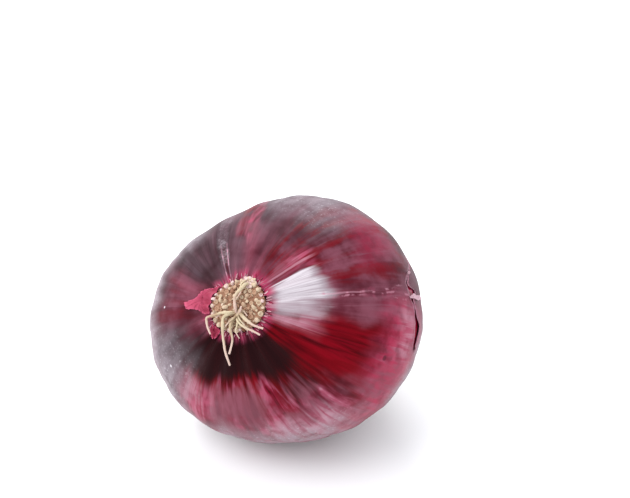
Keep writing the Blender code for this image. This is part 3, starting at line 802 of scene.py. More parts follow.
class Area(Enum):
    """The kinds of area on the skin, each with its patches."""

    FILM = (
        Patch(100, 72, 84, 80, 1.0, 8, 8, 3),
        Patch(-152, 72, 33, 80, 1.0, 8, 8, 3),
        Patch(-98, 66, 36, 22, 0.7, 12, 12, 5),
        Patch(-29, 56, 15, 8, 0.7, 10, 8, 5),
        Patch(-34, 82, 60, 12, 0.5, 16, 10, 5),
        Patch(-40, 120, 110, 32, 0.75, 20, 8, 6),
    )
    BARE = (
        Patch(66, 84, 10, 10, 1.0, 3, 6, 4),
        Patch(58, 50, 26, 20, 0.85, 8, 10, 6),
        Patch(50, 70, 14, 12, 0.5, 8, 8, 5),
        Patch(50, 88, 20, 12, 0.6, 8, 8, 5),
        Patch(68, 24, 17, 13, 0.8, 4, 7, 4),
        Patch(118, 54, 8, 20, 0.9, 4, 8, 4),
        Patch(-170, 32, 26, 16, 0.5, 8, 10, 4),
        Patch(0, 128, 400, 26, 0.8, 8, 12, 6),
    )
    # Cool grey film on the upper side, partly a painted reflection of the light above.
    GREY = (
        Patch(98, 64, 34, 28, 0.85, 12, 12, 4),
        Patch(150, 40, 20, 26, 1.0, 8, 10, 4),
        Patch(-130, 45, 20, 17, 1.0, 10, 10, 5),
        Patch(172, 50, 30, 12, 0.6, 12, 10, 5),
        Patch(126, 30, 16, 16, 0.7, 8, 10, 4),
        Patch(33, 86, 10, 10, 0.35, 5, 6, 3),
        Patch(100, 108, 80, 22, 0.6, 20, 12, 6),
    )
    # Rose streaks of the lower side: skin colour, partly a painted reflection of the pale floor.
    ROSE = (
        Patch(-80, 62, 37, 26, 1.0, 13, 9, 6),
        Patch(-42, 58, 22, 20, 0.65, 10, 9, 5),
        Patch(-26, 80, 30, 12, 0.7, 10, 8, 4),
        Patch(60, 26, 9, 12, 0.8, 3, 5, 3),
        Patch(117, 52, 8, 19, 0.85, 5, 8, 5),
        Patch(108, 36, 6, 8, 0.6, 4, 5, 4),
        Patch(0, 126, 400, 24, 0.45, 8, 12, 6),
    )
    BLUSH = (
        Patch(6, 83, 20, 17, 0.9, 7, 10, 4),
        Patch(-20, 88, 28, 14, 0.95, 8, 10, 4),
        Patch(-66, 98, 40, 12, 0.5, 12, 8, 4),
        Patch(62, 72, 14, 12, 0.4, 6, 8, 4),
        Patch(48, 62, 8, 8, 0.25, 5, 6, 4),
    )
    GLOW = (
        Patch(2, 46, 17, 18, 0.6, 8, 10, 5),
        Patch(66, 84, 9, 9, 0.7, 3, 5, 4),
    )
    # Painted shade: the near-black patch under the root plate, standing in for shade and a dim reflection,
    # the shadow under the large scrap, and smaller painted shading elsewhere.
    DARK = (
        Patch(-68, 20, 46, 13, 1.0, 10, 7, 2.5),
        Patch(-112, 26, 20, 11, 0.8, 12, 10, 2.5),
        Patch(-132, 34, 12, 8, 0.25, 10, 8, 4),
        Patch(150, 36, 28, 20, 0.5, 10, 12, 3),
        Patch(-160, 21, 12, 6, 0.4, 5, 4, 2),
        Patch(-146, 33, 14, 10, 0.3, 8, 8, 3),
        Patch(44, 50, 18, 13, 0.25, 8, 10, 5),
        Patch(87, 31, 13, 11, 0.48, 8, 8, 5),
        Patch(-34, 38, 18, 14, 0.45, 8, 10, 5),
        Patch(8, 40, 7, 16, 0.25, 4, 8, 4),
    )
    # Pale thin film round the outline, partly a painted rim reflection of the bright studio.
    PALE = (
        Patch(-148, 72, 30, 20, 0.95, 10, 12, 4),
        Patch(-128, 47, 16, 14, 0.4, 10, 12, 4),
        Patch(-92, 88, 60, 18, 0.8, 20, 12, 6),
        Patch(88, 66, 20, 14, 0.55, 10, 12, 5),
        Patch(108, 84, 28, 12, 0.35, 14, 10, 6),
        Patch(178, 70, 28, 15, 0.9, 10, 12, 4),
        Patch(0, 112, 18, 16, 0.8, 8, 10, 3),
    )
    # Pale pink patches, partly a painted highlight.
    PINK = (
        Patch(-47, 70, 18, 9, 0.85, 8, 8, 5),
        Patch(14, 84, 10, 7, 0.7, 5, 5, 3),
        Patch(9, 26, 9, 9, 0.6, 6, 6, 4),
        Patch(-106, 49, 11, 10, 0.5, 6, 8, 5),
    )
    # The silvery patch beside the root plate: silvery film with a painted highlight on it.
    SILVER = (
        Patch(38, 24.5, 12, 11, 1.0, 1.8, 5.0, 2.5),
        Patch(24, 23.5, 12, 11, 0.75, 5, 7, 3),
        Patch(7, 21, 8, 9, 0.35, 5, 7, 3),
        Patch(26, 36, 9, 6, 0.3, 4, 5, 3),
    )


@dataclass(frozen=True)
class SkinMap:
    """Stores on a skin mesh where each kind of area lies. Its angles are in degrees.

    Attributes:
        sway: The waves by which the patches' sides sway along a meridian.
        edge: How far from a lip or from the neck's end its pale edge starts to fade and is gone.
    """

    form: OnionForm
    streaks: Waves = (
        (0.26, 5, 70.0), (0.26, 13, 160.0), (0.24, 19, 20.0),
        (0.22, 29, 200.0), (0.2, 43, 80.0), (0.12, 59, 10.0),
    )
    sway: Waves = ((1.2, 9, 0.0), (0.8, 21, 40.0))
    tear_middle: float = 29.5
    tear_ends: Span = (20.0, 23.0)
    far_away: float = 90.0
    edge: Span = (0.2, 1.3)
    fringe: Span = (12.8, 18.0)
    neck: Span = (142.0, 170.0)

    def store(self, mesh: Mesh, turn: Array, polar: Array) -> None:
        """Writes one number for each point and each kind of area."""
        streak = wavering(turn, *self.streaks)
        swayed = turn + wavering(polar, *self.sway)
        for area in Area:
            covers = [patch.cover(swayed, polar, streak) for patch in area.value]
            store_number(mesh, area.name.lower(), 1.0 - np.prod([1.0 - c for c in covers], axis=0))
        near, far, _ = self.form.lips(wrapped(turn))
        untorn = smooth_step(np.abs(wrapped(turn - self.tear_middle)), *self.tear_ends)
        to_lip = np.minimum(np.abs(polar - near), np.abs(polar - far)) + untorn * self.far_away
        to_end = (self.form.end - polar) * 2.0
        store_number(mesh, "edge", 1.0 - smooth_step(np.minimum(to_lip, to_end), *self.edge))
        store_number(mesh, "fringe", 1.0 - smooth_step(polar, *self.fringe))
        store_number(mesh, "neck", smooth_step(polar, *self.neck))


def store_number(mesh: Mesh, name: str, values: Array) -> None:
    """Stores one number for each point of a mesh."""
    mesh.attributes.new(name, "FLOAT", "POINT").data.foreach_set("value", np.ravel(values).astype(np.float32))


def store_vector(mesh: Mesh, name: str, values: Array) -> None:
    """Stores one vector for each point of a mesh."""
    layer = mesh.attributes.new(name, "FLOAT_VECTOR", "POINT")
    layer.data.foreach_set("vector", np.ravel(values).astype(np.float32))


def ring_faces(rows: int, columns: int, left_out: Array | None = None) -> Array:
    """Faces of a grid that closes on itself round each row, facing out.

    Args:
        rows: How many rings of points there are.
        columns: How many points each ring has.
        left_out: True for each cell that stays open.

    Returns:
        Four point numbers for each face.
    """
    i, j = np.meshgrid(np.arange(rows - 1), np.arange(columns), indexing="ij")
    k = (j + 1) % columns
    faces = np.stack([i * columns + j, (i + 1) * columns + j, (i + 1) * columns + k, i * columns + k], -1)
    kept = np.ones(i.shape, bool) if left_out is None else ~left_out
    return faces[kept]


def mesh_of(name: str, points: Array, faces: list | Array) -> Mesh:
    """A smooth mesh from points and faces."""
    mesh = bpy.data.meshes.new(name)
    mesh.from_pydata(np.reshape(points, (-1, 3)).tolist(), [], [tuple(map(int, face)) for face in faces])
    mesh.update()
    mesh.shade_smooth()
    return mesh


def closed_mesh(name: str, rings: Array, first: Array, last: Array | None = None) -> Mesh:
    """A mesh from rings of points, run together at a point before them and, if given, at one after them."""
    count, columns = rings.shape[:2]
    ends = [first] if last is None else [first, last]
    faces = [tuple(face) for face in ring_faces(count, columns)]
    for j in range(columns):
        k = (j + 1) % columns
        faces.append((count * columns, j, k))
        if last is not None:
            faces.append((count * columns + 1, (count - 1) * columns + k, (count - 1) * columns + j))
    return mesh_of(name, np.concatenate([rings.reshape(-1, 3), ends]), faces)


def outline_places(outline: Outline, steps: int) -> Array:
    """Places along a closed outline, with the same number of steps on each of its sides."""
    corners = np.array(outline + outline[:1])
    along = np.arange(len(outline) * steps) / steps
    return np.stack([np.interp(along, np.arange(len(corners)), corners[:, axis]) for axis in (0, 1)], -1)


def rings_to(edge: Array, rings: int) -> tuple[Array, Array]:
    """Rings of places from an edge's middle out to the edge, and how far out each one lies, from 0 to 1."""
    middle = edge.mean(0)
    shares = np.arange(rings + 1)[:, None, None] / rings
    return middle + (edge - middle) * shares, shares


def store_places(mesh: Mesh, turn: Array, polar: Array) -> None:
    """Gives a mesh its map of turn and polar angle, as shares of a full and a half turn.

    Args:
        mesh: The mesh, which gets a map with no face across the seam.
        turn: The turn of each of its points.
        polar: Their polar angles.
    """
    corners = np.empty(len(mesh.loops), np.int32)
    mesh.loops.foreach_get("vertex_index", corners)
    starts = np.empty(len(mesh.polygons), np.int32)
    mesh.polygons.foreach_get("loop_start", starts)
    across = (np.ravel(turn)[corners] / FULL_TURN) % 1.0
    highest = np.repeat(np.maximum.reduceat(across, starts), np.diff(np.append(starts, len(corners))))
    across = np.where(highest - across > 0.5, across + 1.0, across)
    along = np.ravel(polar)[corners] / HALF_TURN
    layer = mesh.uv_layers.new(name=PLACES)
    layer.uv.foreach_set("vector", np.stack([across, along], -1).ravel().astype(np.float32))


def shown(name: str, mesh: Mesh, material: Material | None = None) -> Thing:
    """Puts a mesh in the scene as an object at the origin."""
    if material is not None:
        mesh.materials.clear()
        mesh.materials.append(material)
    made = bpy.data.objects.new(name, mesh)
    bpy.context.scene.collection.objects.link(made)
    return made


def settle(piece: Thing) -> Thing:
    """Turns what a piece's modifiers make into its plain mesh, and removes them."""
    bpy.context.view_layer.update()
    graph = bpy.context.evaluated_depsgraph_get()
    finished = piece.evaluated_get(graph)
    mesh = bpy.data.meshes.new_from_object(finished, preserve_all_data_layers=True, depsgraph=graph)
    piece.modifiers.clear()
    piece.data = mesh
    mesh.shade_smooth()
    return piece


def thicken(piece: Thing, thickness: float, offset: float = -1.0) -> None:
    """Gives a sheet a thickness, inwards or outwards."""
    sheet = piece.modifiers.new("thickness", "SOLIDIFY")
    sheet.thickness = thickness
    sheet.offset = offset


class Recipe(Graph):
    """A Geometry Nodes tree with named inputs, run once on a piece and then baked into it."""

    KINDS = {
        float: "NodeSocketFloat",
        int: "NodeSocketInt",
        bpy.types.Collection: "NodeSocketCollection",
        bpy.types.Material: "NodeSocketMaterial",
    }

    def __init__(self, name: str, inputs: dict[str, object]) -> None:
        tree = bpy.data.node_groups.new(name, "GeometryNodeTree")
        tree.is_modifier = True
        super().__init__(tree)
        for way in ("INPUT", "OUTPUT"):
            tree.interface.new_socket("Geometry", in_out=way, socket_type="NodeSocketGeometry")
        self.values: dict[str, object] = {}
        for label, value in inputs.items():
            socket = tree.interface.new_socket(label, in_out="INPUT", socket_type=self.KINDS[type(value)])
            self.values[socket.identifier] = value
        sockets = self.add("NodeGroupInput").outputs
        self.start = Wire(self, sockets[0])
        self.given = {label: Wire(self, sockets[label]) for label in inputs}
        self.result = self.add("NodeGroupOutput")

    def named(self, name: str, kind: str = "FLOAT") -> Wire:
        """An attribute of the geometry."""
        return self.wire("GeometryNodeInputNamedAttribute", {"Name": name}, "Attribute", data_type=kind)

    def chance(self, lowest: Wire | float, highest: Wire | float, number: int) -> Wire:
        """A random number for each point, another one for each number added to the seed."""
        inputs = {2: lowest, 3: highest, "Seed": self.given["Seed"] + number}
        return self.wire("FunctionNodeRandomValue", inputs, 1)

    def roughness(self, scale: Wire | float, detail: float, size: Wire) -> Wire:
        """Noise over the geometry that goes as far as a size, up and down. The seed changes it."""
        place = self.wire("GeometryNodeInputPosition")
        inputs = {"Vector": place, "W": self.given["Seed"], "Scale": scale, "Detail": detail}
        return self.wire("ShaderNodeTexNoise", inputs, noise_dimensions="4D").swing(size) * 2.0

    def pushed(self, geometry: Wire, distance: Wire) -> Wire:
        """The geometry with each point moved along its normal."""
        normal = self.wire("GeometryNodeInputNormal")
        offset = self.wire("ShaderNodeVectorMath", {0: normal, "Scale": distance}, operation="SCALE")
        return self.wire("GeometryNodeSetPosition", {"Geometry": geometry, "Offset": offset})

    def end(self, geometry: Wire) -> None:
        """Ends the tree: instances become real and take the material."""
        real = self.wire("GeometryNodeRealizeInstances", {0: geometry})
        dressed = self.wire("GeometryNodeSetMaterial", {0: real, "Material": self.given["Material"]})
        self.join(self.result.inputs[0], dressed)

    def run(self, piece: Thing) -> Thing:
        """Runs the tree on a piece and bakes it."""
        modifier = piece.modifiers.new(self.tree.name, "NODES")
        modifier.node_group = self.tree
        for identifier, value in self.values.items():
            modifier[identifier] = value
        return settle(piece)


@dataclass(frozen=True)
class Relief:
    """How a surface is ribbed and crinkled.

    Attributes:
        scale: How fine the crinkles are.
        patches: How fine the patches are in which the ribs show.
        wander: How far the ribs wander to the sides.
    """

    ribs: int
    rib_depth: float
    crinkle: float
    scale: float
    patches: float = 45.0
    wander: float = 9.0
    seed: float = 4.0

    def recipe(self, name: str, material: Material) -> Recipe:
        """A recipe that raises ribs along the meridians and crinkles the surface.

        Args:
            name: The tree's name.
            material: What the surface is made of.

        Returns:
            The recipe, ready to run.
        """
        inputs = {
            "Ribs": self.ribs,
            "Rib Depth": self.rib_depth,
            "Crinkle": self.crinkle,
            "Crinkle Scale": self.scale,
            "Rib Patches": self.patches,
            "Rib Wander": self.wander,
            "Seed": self.seed,
            "Material": material,
        }
        g = Recipe(name, inputs)
        crinkled = g.roughness(g.given["Crinkle Scale"], 3.0, g.given["Crinkle"])
        slow = g.noise(g.wire("GeometryNodeInputPosition"), g.given["Rib Patches"], 1.0)
        phase = g.math("RADIANS", g.named("turn")) * g.given["Ribs"] + slow * g.given["Rib Wander"]
        ribbed = g.math("COSINE", phase) * g.given["Rib Depth"] * slow.rise(0.35, 0.65)
        g.end(g.pushed(g.start, crinkled + ribbed))
        return g


@dataclass(frozen=True)
class Growth:
    """How small pieces grow on points.

    Attributes:
        smallest: The least share of a point's size that a piece may have.
        largest: The greatest such share.
        spin: How far a piece may turn about its own length, in radians.
        seed: The seed of every random choice.
        shading: How far a piece's tone may differ from its point's shade.
    """

    smallest: float
    largest: float
    spin: float
    seed: int
    shading: float = 0.4

    def recipe(self, name: str, material: Material, kinds: bpy.types.Collection) -> Recipe:
        """A recipe that sets a small piece on every point, along its ahead vector, at its own size.

        Args:
            name: The tree's name.
            material: What the pieces are made of.
            kinds: The pieces to choose from. Each grows along +Z, with its outer face towards +X.

        Returns:
            The recipe, ready to run.
        """
        inputs = {
            "Kinds": kinds,
            "Smallest": self.smallest,
            "Largest": self.largest,
            "Spin": self.spin,
            "Shading": self.shading,
            "Seed": self.seed,
            "Material": material,
        }
        g = Recipe(name, inputs)
        choice = {"Collection": g.given["Kinds"], "Separate Children": True, "Reset Children": True}
        pieces = g.wire("GeometryNodeCollectionInfo", choice)
        align = "FunctionNodeAlignRotationToVector"
        ahead = g.wire(align, {"Vector": g.named("ahead", "FLOAT_VECTOR")}, axis="Z")
        above = {"Rotation": ahead, "Vector": g.named("up", "FLOAT_VECTOR")}
        facing = g.wire(align, above, axis="X", pivot_axis="Z")
        angle = g.chance(g.given["Spin"] * -1.0, g.given["Spin"], 0)
        turn = g.wire("FunctionNodeAxisAngleToRotation", {"Axis": (0.0, 0.0, 1.0), "Angle": angle})
        share = g.chance(g.given["Smallest"], g.given["Largest"], 1)
        pick = {4: 0, 5: 100, "Seed": g.given["Seed"] + 2}
        setting = {
            "Points": g.start,
            "Instance": pieces,
            "Pick Instance": True,
            "Instance Index": g.wire("FunctionNodeRandomValue", pick, 2, data_type="INT"),
            "Rotation": g.wire("FunctionNodeRotateRotation", {0: facing, 1: turn}, rotation_space="LOCAL"),
            "Scale": share * g.named("size"),
        }
        grown = g.wire("GeometryNodeInstanceOnPoints", setting)
        tone = g.chance(g.given["Shading"] * -1.0, g.given["Shading"], 3) + g.named("shade")
        toned = {0: grown, "Name": "tone", "Value": tone}
        g.end(g.wire("GeometryNodeStoreNamedAttribute", toned, data_type="FLOAT", domain="INSTANCE"))
        return g


def strand_recipe(name: str, material: Material, sides: int, spacing: float, knots: float) -> Recipe:
    """A recipe that turns lines of points into knotty tubes, each as thick as its points say.

    Args:
        name: The tree's name.
        material: What the strands are made of.
        sides: How many sides a tube has.
        spacing: The distance between its rings.
        knots: How far its surface stands out and in.

    Returns:
        The recipe, ready to run.
    """
    inputs = {
        "Sides": sides,
        "Spacing": spacing,
        "Knots": knots,
        "Knot Scale": 700.0,
        "Seed": 2.0,
        "Material": material,
    }
    g = Recipe(name, inputs)
    curves = g.wire("GeometryNodeMeshToCurve", {0: g.start})
    smooth = g.wire("GeometryNodeCurveSplineType", {0: curves}, spline_type="CATMULL_ROM")
    even = g.wire("GeometryNodeResampleCurve", {"Curve": smooth, "Length": g.given["Spacing"]}, mode="LENGTH")
    profile = g.wire("GeometryNodeCurvePrimitiveCircle", {"Resolution": g.given["Sides"], "Radius": 1.0})
    shape = {0: even, "Profile Curve": profile, "Scale": g.named("thick"), "Fill Caps": True}
    tube = g.wire("GeometryNodeCurveToMesh", shape)
    g.end(g.pushed(tube, g.roughness(g.given["Knot Scale"], 2.0, g.given["Knots"])))
    return g


def collected(name: str, meshes: list[Mesh]) -> bpy.types.Collection:
    """A collection of small pieces to choose from, which isn't in the scene itself."""
    made = bpy.data.collections.new(name)
    for mesh in meshes:
        made.objects.link(bpy.data.objects.new(mesh.name, mesh))
    return made


def dispersed(kinds: bpy.types.Collection) -> None:
    """Removes a collection of small pieces once they have grown."""
    for piece in list(kinds.objects):
        bpy.data.objects.remove(piece)
    bpy.data.collections.remove(kinds)


@dataclass
class OnionPiece:
    """One part of the onion that is built and dressed on its own."""

    form: OnionForm

    def hand_over(self, piece: Thing, slot: str, *nodes: str) -> Thing:
        """Ties a finished piece to the onion's body and hides the solids that it stands for."""
        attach(piece, BODY)
        if nodes:
            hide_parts(*nodes)
        log.info("%s: %d points, %d faces", piece.name, len(piece.data.vertices), len(piece.data.polygons))
        return piece


@dataclass
class PaperySkin(OnionPiece):
    """The dry outer skin: a thin shell, open at the root plate, torn at its right and ragged at the neck.

    Attributes:
        tear_middle: The turn about which the rows bend to the tear.
        upper_lip_at: The polar angle of the last row above the tear, before it bends.
        lower_lip_at: The polar angle of the first row past the tear, before it bends.
        bend: How far from the tear the rows bend along the meridians, in degrees.
    """

    columns: int = 288
    opens_at: float = 11.95
    rows_to_tear: int = 76
    rows_across_tear: int = 6
    rows_past_tear: int = 80
    thickness: float = 0.00022
    tear_middle: float = 29.0
    tear_reach: Span = (26.0, 46.0)
    upper_lip_at: float = 88.0
    lower_lip_at: float = 90.0
    bend: float = 38.0
    root_edge: Waves = ((0.25, 13, 0.0), (0.3, 31, 20.0), (0.25, 67, 80.0))
    neck_edge: Waves = ((0.144, 5, 0.0), (0.096, 11, 50.0), (0.04, 29, 10.0), (0.03, 53, 0.0))
    neck_edge_from: float = 171.5
    neck_trim: float = 0.3
    near_edge: Waves = ((0.25, 61, 0.0), (0.15, 97, 40.0))
    far_edge: Waves = ((0.25, 53, 10.0), (0.15, 89, 70.0))
    least_gap: float = 0.25
    taper: float = 3.0
    relief: Relief = Relief(46, 0.00007, 0.00006, 180.0)

    def build(self, material: Material) -> Thing:
        """Makes the skin.

        Args:
            material: Its finish.

        Returns:
            The finished piece.
        """
        turns = even_turns(self.columns)
        polar, torn = self._rows(turns)
        turn = np.broadcast_to(turns, polar.shape)
        faces = ring_faces(len(polar), self.columns, torn)
        used, faces = np.unique(faces, return_inverse=True)
        turn, polar = turn.ravel()[used], polar.ravel()[used]
        mesh = mesh_of("papery_skin", self.form.placed(self.form.local(turn, polar)), faces.reshape(-1, 4))
        store_number(mesh, "turn", turn)
        SkinMap(self.form).store(mesh, turn, polar)
        store_places(mesh, turn, polar)
        skin = self.relief.recipe("skin_relief", material).run(shown("papery_skin", mesh, material))
        thicken(skin, self.thickness)
        return self.hand_over(self._lifted(settle(skin)), "red_skin", "outer_skin")

    def _rows(self, turns: Array) -> tuple[Array, Array]:
        """The polar angle of every point of the grid, and the cells that the tear leaves open."""
        near, far = self._lips(turns)
        beside = 1.0 - smooth_step(np.abs(wrapped(turns - self.tear_middle)), *self.tear_reach)
        upper = self.form.even_rows(self.opens_at, self.upper_lip_at, self.rows_to_tear)[:, None]
        lower = self.form.even_rows(self.lower_lip_at, self.form.end, self.rows_past_tear)[:, None]
        bent_up = beside * (1.0 - smooth_step(self.upper_lip_at - upper, 0.0, self.bend))
        bent_down = beside * (1.0 - smooth_step(lower - self.lower_lip_at, 0.0, self.bend))
        upper = upper + (near - self.upper_lip_at) * bent_up
        lower = lower + (far - self.lower_lip_at) * bent_down
        notches = self.neck_trim + wavering(turns, *self.neck_edge)
        lower = lower - notches * smooth_step(lower, self.neck_edge_from, self.form.end)
        upper[0] += wavering(turns, *self.root_edge)
        shares = (np.arange(1, self.rows_across_tear) / self.rows_across_tear)[:, None]
        between = upper[-1] + (lower[0] - upper[-1]) * shares
        polar = np.concatenate([upper, between, lower])
        cells = np.arange(len(polar) - 1)[:, None]
        in_gap = (cells >= self.rows_to_tear - 1) & (cells < self.rows_to_tear - 1 + self.rows_across_tear)
        middles = wrapped(turns + HALF_TURN / self.columns)
        return polar, in_gap & (middles > self.form.tear[0][0]) & (middles < self.form.tear[-1][0])

    def _lips(self, turns: Array) -> tuple[Array, Array]:
        """The tear's two lips at each turn, ragged, and run together at its ends."""
        places = wrapped(turns)
        near, far, _ = self.form.lips(places)
        first, last = self.form.tear[0][0] - 1.0, self.form.tear[-1][0] + 1.0
        begins = smooth_step(places, first, first + 1.0 + self.taper)
        taper = np.sqrt(begins * (1.0 - smooth_step(places, last - 1.0 - self.taper, last)))
        middle, half = (near + far) / 2.0, (far - near) / 2.0
        near = middle - half * taper + wavering(turns, *self.near_edge) * taper
        far = middle + half * taper + wavering(turns, *self.far_edge) * taper
        return near, np.maximum(far, near + self.least_gap)

    def _lifted(self, skin: Thing) -> Thing:
        """Keeps the skin's lowest points on the surface that the onion lies on."""
        places = np.empty(len(skin.data.vertices) * 3, np.float32)
        skin.data.vertices.foreach_get("co", places)
        places[2::3] = np.maximum(places[2::3], 0.0)
        skin.data.vertices.foreach_set("co", places)
        skin.data.update()
        return skin


@dataclass
class FleshyBulb(OnionPiece):
    """The fleshy scale under the skin, seen through the tear and round the root plate.

    Attributes:
        depth: How far it lies under the deepest pleats.
        opening: How far its first ring lies past the skin's opening, in degrees.
        seat_polar: The polar angle of the seat's edge on the map.
    """

    columns: int = 180
    rows: int = 90
    depth: float = 0.0005
    opening: float = 3.0
    ends_at: float = 172.0
    neck_squeeze: float = 0.22
    squeezing: Span = (160.0, 170.0)
    tip: float = 0.001
    clearance: float = 0.0012
    seat_radius: float = 0.0083
    seat_height: float = 0.0325
    seat_polar: float = 12.0
    relief: Relief = Relief(60, 0.00005, 0.00005, 120.0)

    def build(self, material: Material) -> Thing:
        """Makes the bulb."""
        form = self.form
        turns = even_turns(self.columns)
        polars = form.even_rows(form.skin_opens_at + self.opening, self.ends_at, self.rows)
        turn, polar = np.meshgrid(turns, polars)
        lift = form.lift_of_lip(wrapped(turn), polar) - self.depth - form.pleat_depth(polar)
        points = form.local(turn, polar, lift=lift, folds=0.0)
        points[..., :2] *= (1.0 - self.neck_squeeze * smooth_step(polar, *self.squeezing))[..., None]
        reach = self.seat_radius * form.section(wrapped(turns), np.full(self.columns, form.skin_opens_at))
        seat = around_axis(reach, np.radians(turns), self.seat_height)
        end = points[-1].mean(0) - np.array([0.0, 0.0, self.tip])
        rings = form.placed(np.concatenate([seat[None], points]), self.clearance)
        middle = form.placed(np.array([0.0, 0.0, self.seat_height]))
        mesh = closed_mesh("fleshy_bulb", rings, middle, form.placed(end))
        every_turn = np.concatenate([turns, turn.ravel(), [0.0, 0.0]])
        on_seat = np.full(self.columns, self.seat_polar)
        every_polar = np.concatenate([on_seat, polar.ravel(), [0.0, HALF_TURN]])
        store_number(mesh, "turn", every_turn)
        store_places(mesh, every_turn, every_polar)
        bulb = self.relief.recipe("flesh_relief", material).run(shown("fleshy_bulb", mesh, material))
        return self.hand_over(bulb, "inner_skin", "bulb")


@dataclass(frozen=True)
class Sprouts:
    """How one kind of small growth on the root plate is sized and shaded.

    Attributes:
        wander: How far one may stand beside its place, in degrees of turn.
        lean: How far all of them lean outwards, in degrees.
        leans: The least and greatest further lean.
        from_width: How much the width adds to the size.
        from_height: How much the height adds to the size.
        shade: The shade before the height adds to it.
        painted_shade_by_height: How much the height adds to the shade, so that low stubs are browner as
            painted shade in the plate's hollows.
    """

    count: int
    radius: float
    wander: float
    widths: Span
    heights: Span
    lean: float
    leans: Span
    from_width: float
    from_height: float
    shade: float
    painted_shade_by_height: float

    def row(self, turn: float, reach: float, draw: np.random.Generator) -> tuple[float, ...]:
        """Draws one at a place: its turn, its distance from the axis, its lean, its size and its shade."""
        turn = turn + draw.uniform(-self.wander, self.wander)
        width, height = draw.uniform(*self.widths), draw.uniform(*self.heights)
        lean = self.lean + draw.uniform(*self.leans)
        size = self.radius * (width * self.from_width + height * self.from_height)
        # Low stubs take a browner tone: painted shade in the plate's hollows.
        return turn, reach, lean, size, self.shade + self.painted_shade_by_height * height


def spiral_reach(number: int, count: int, field: float, start: float = 0.5) -> float:
    """How far out a point of a spiral lies, so that all of them fill a round field evenly."""
    return field * math.sqrt((number + start) / count)


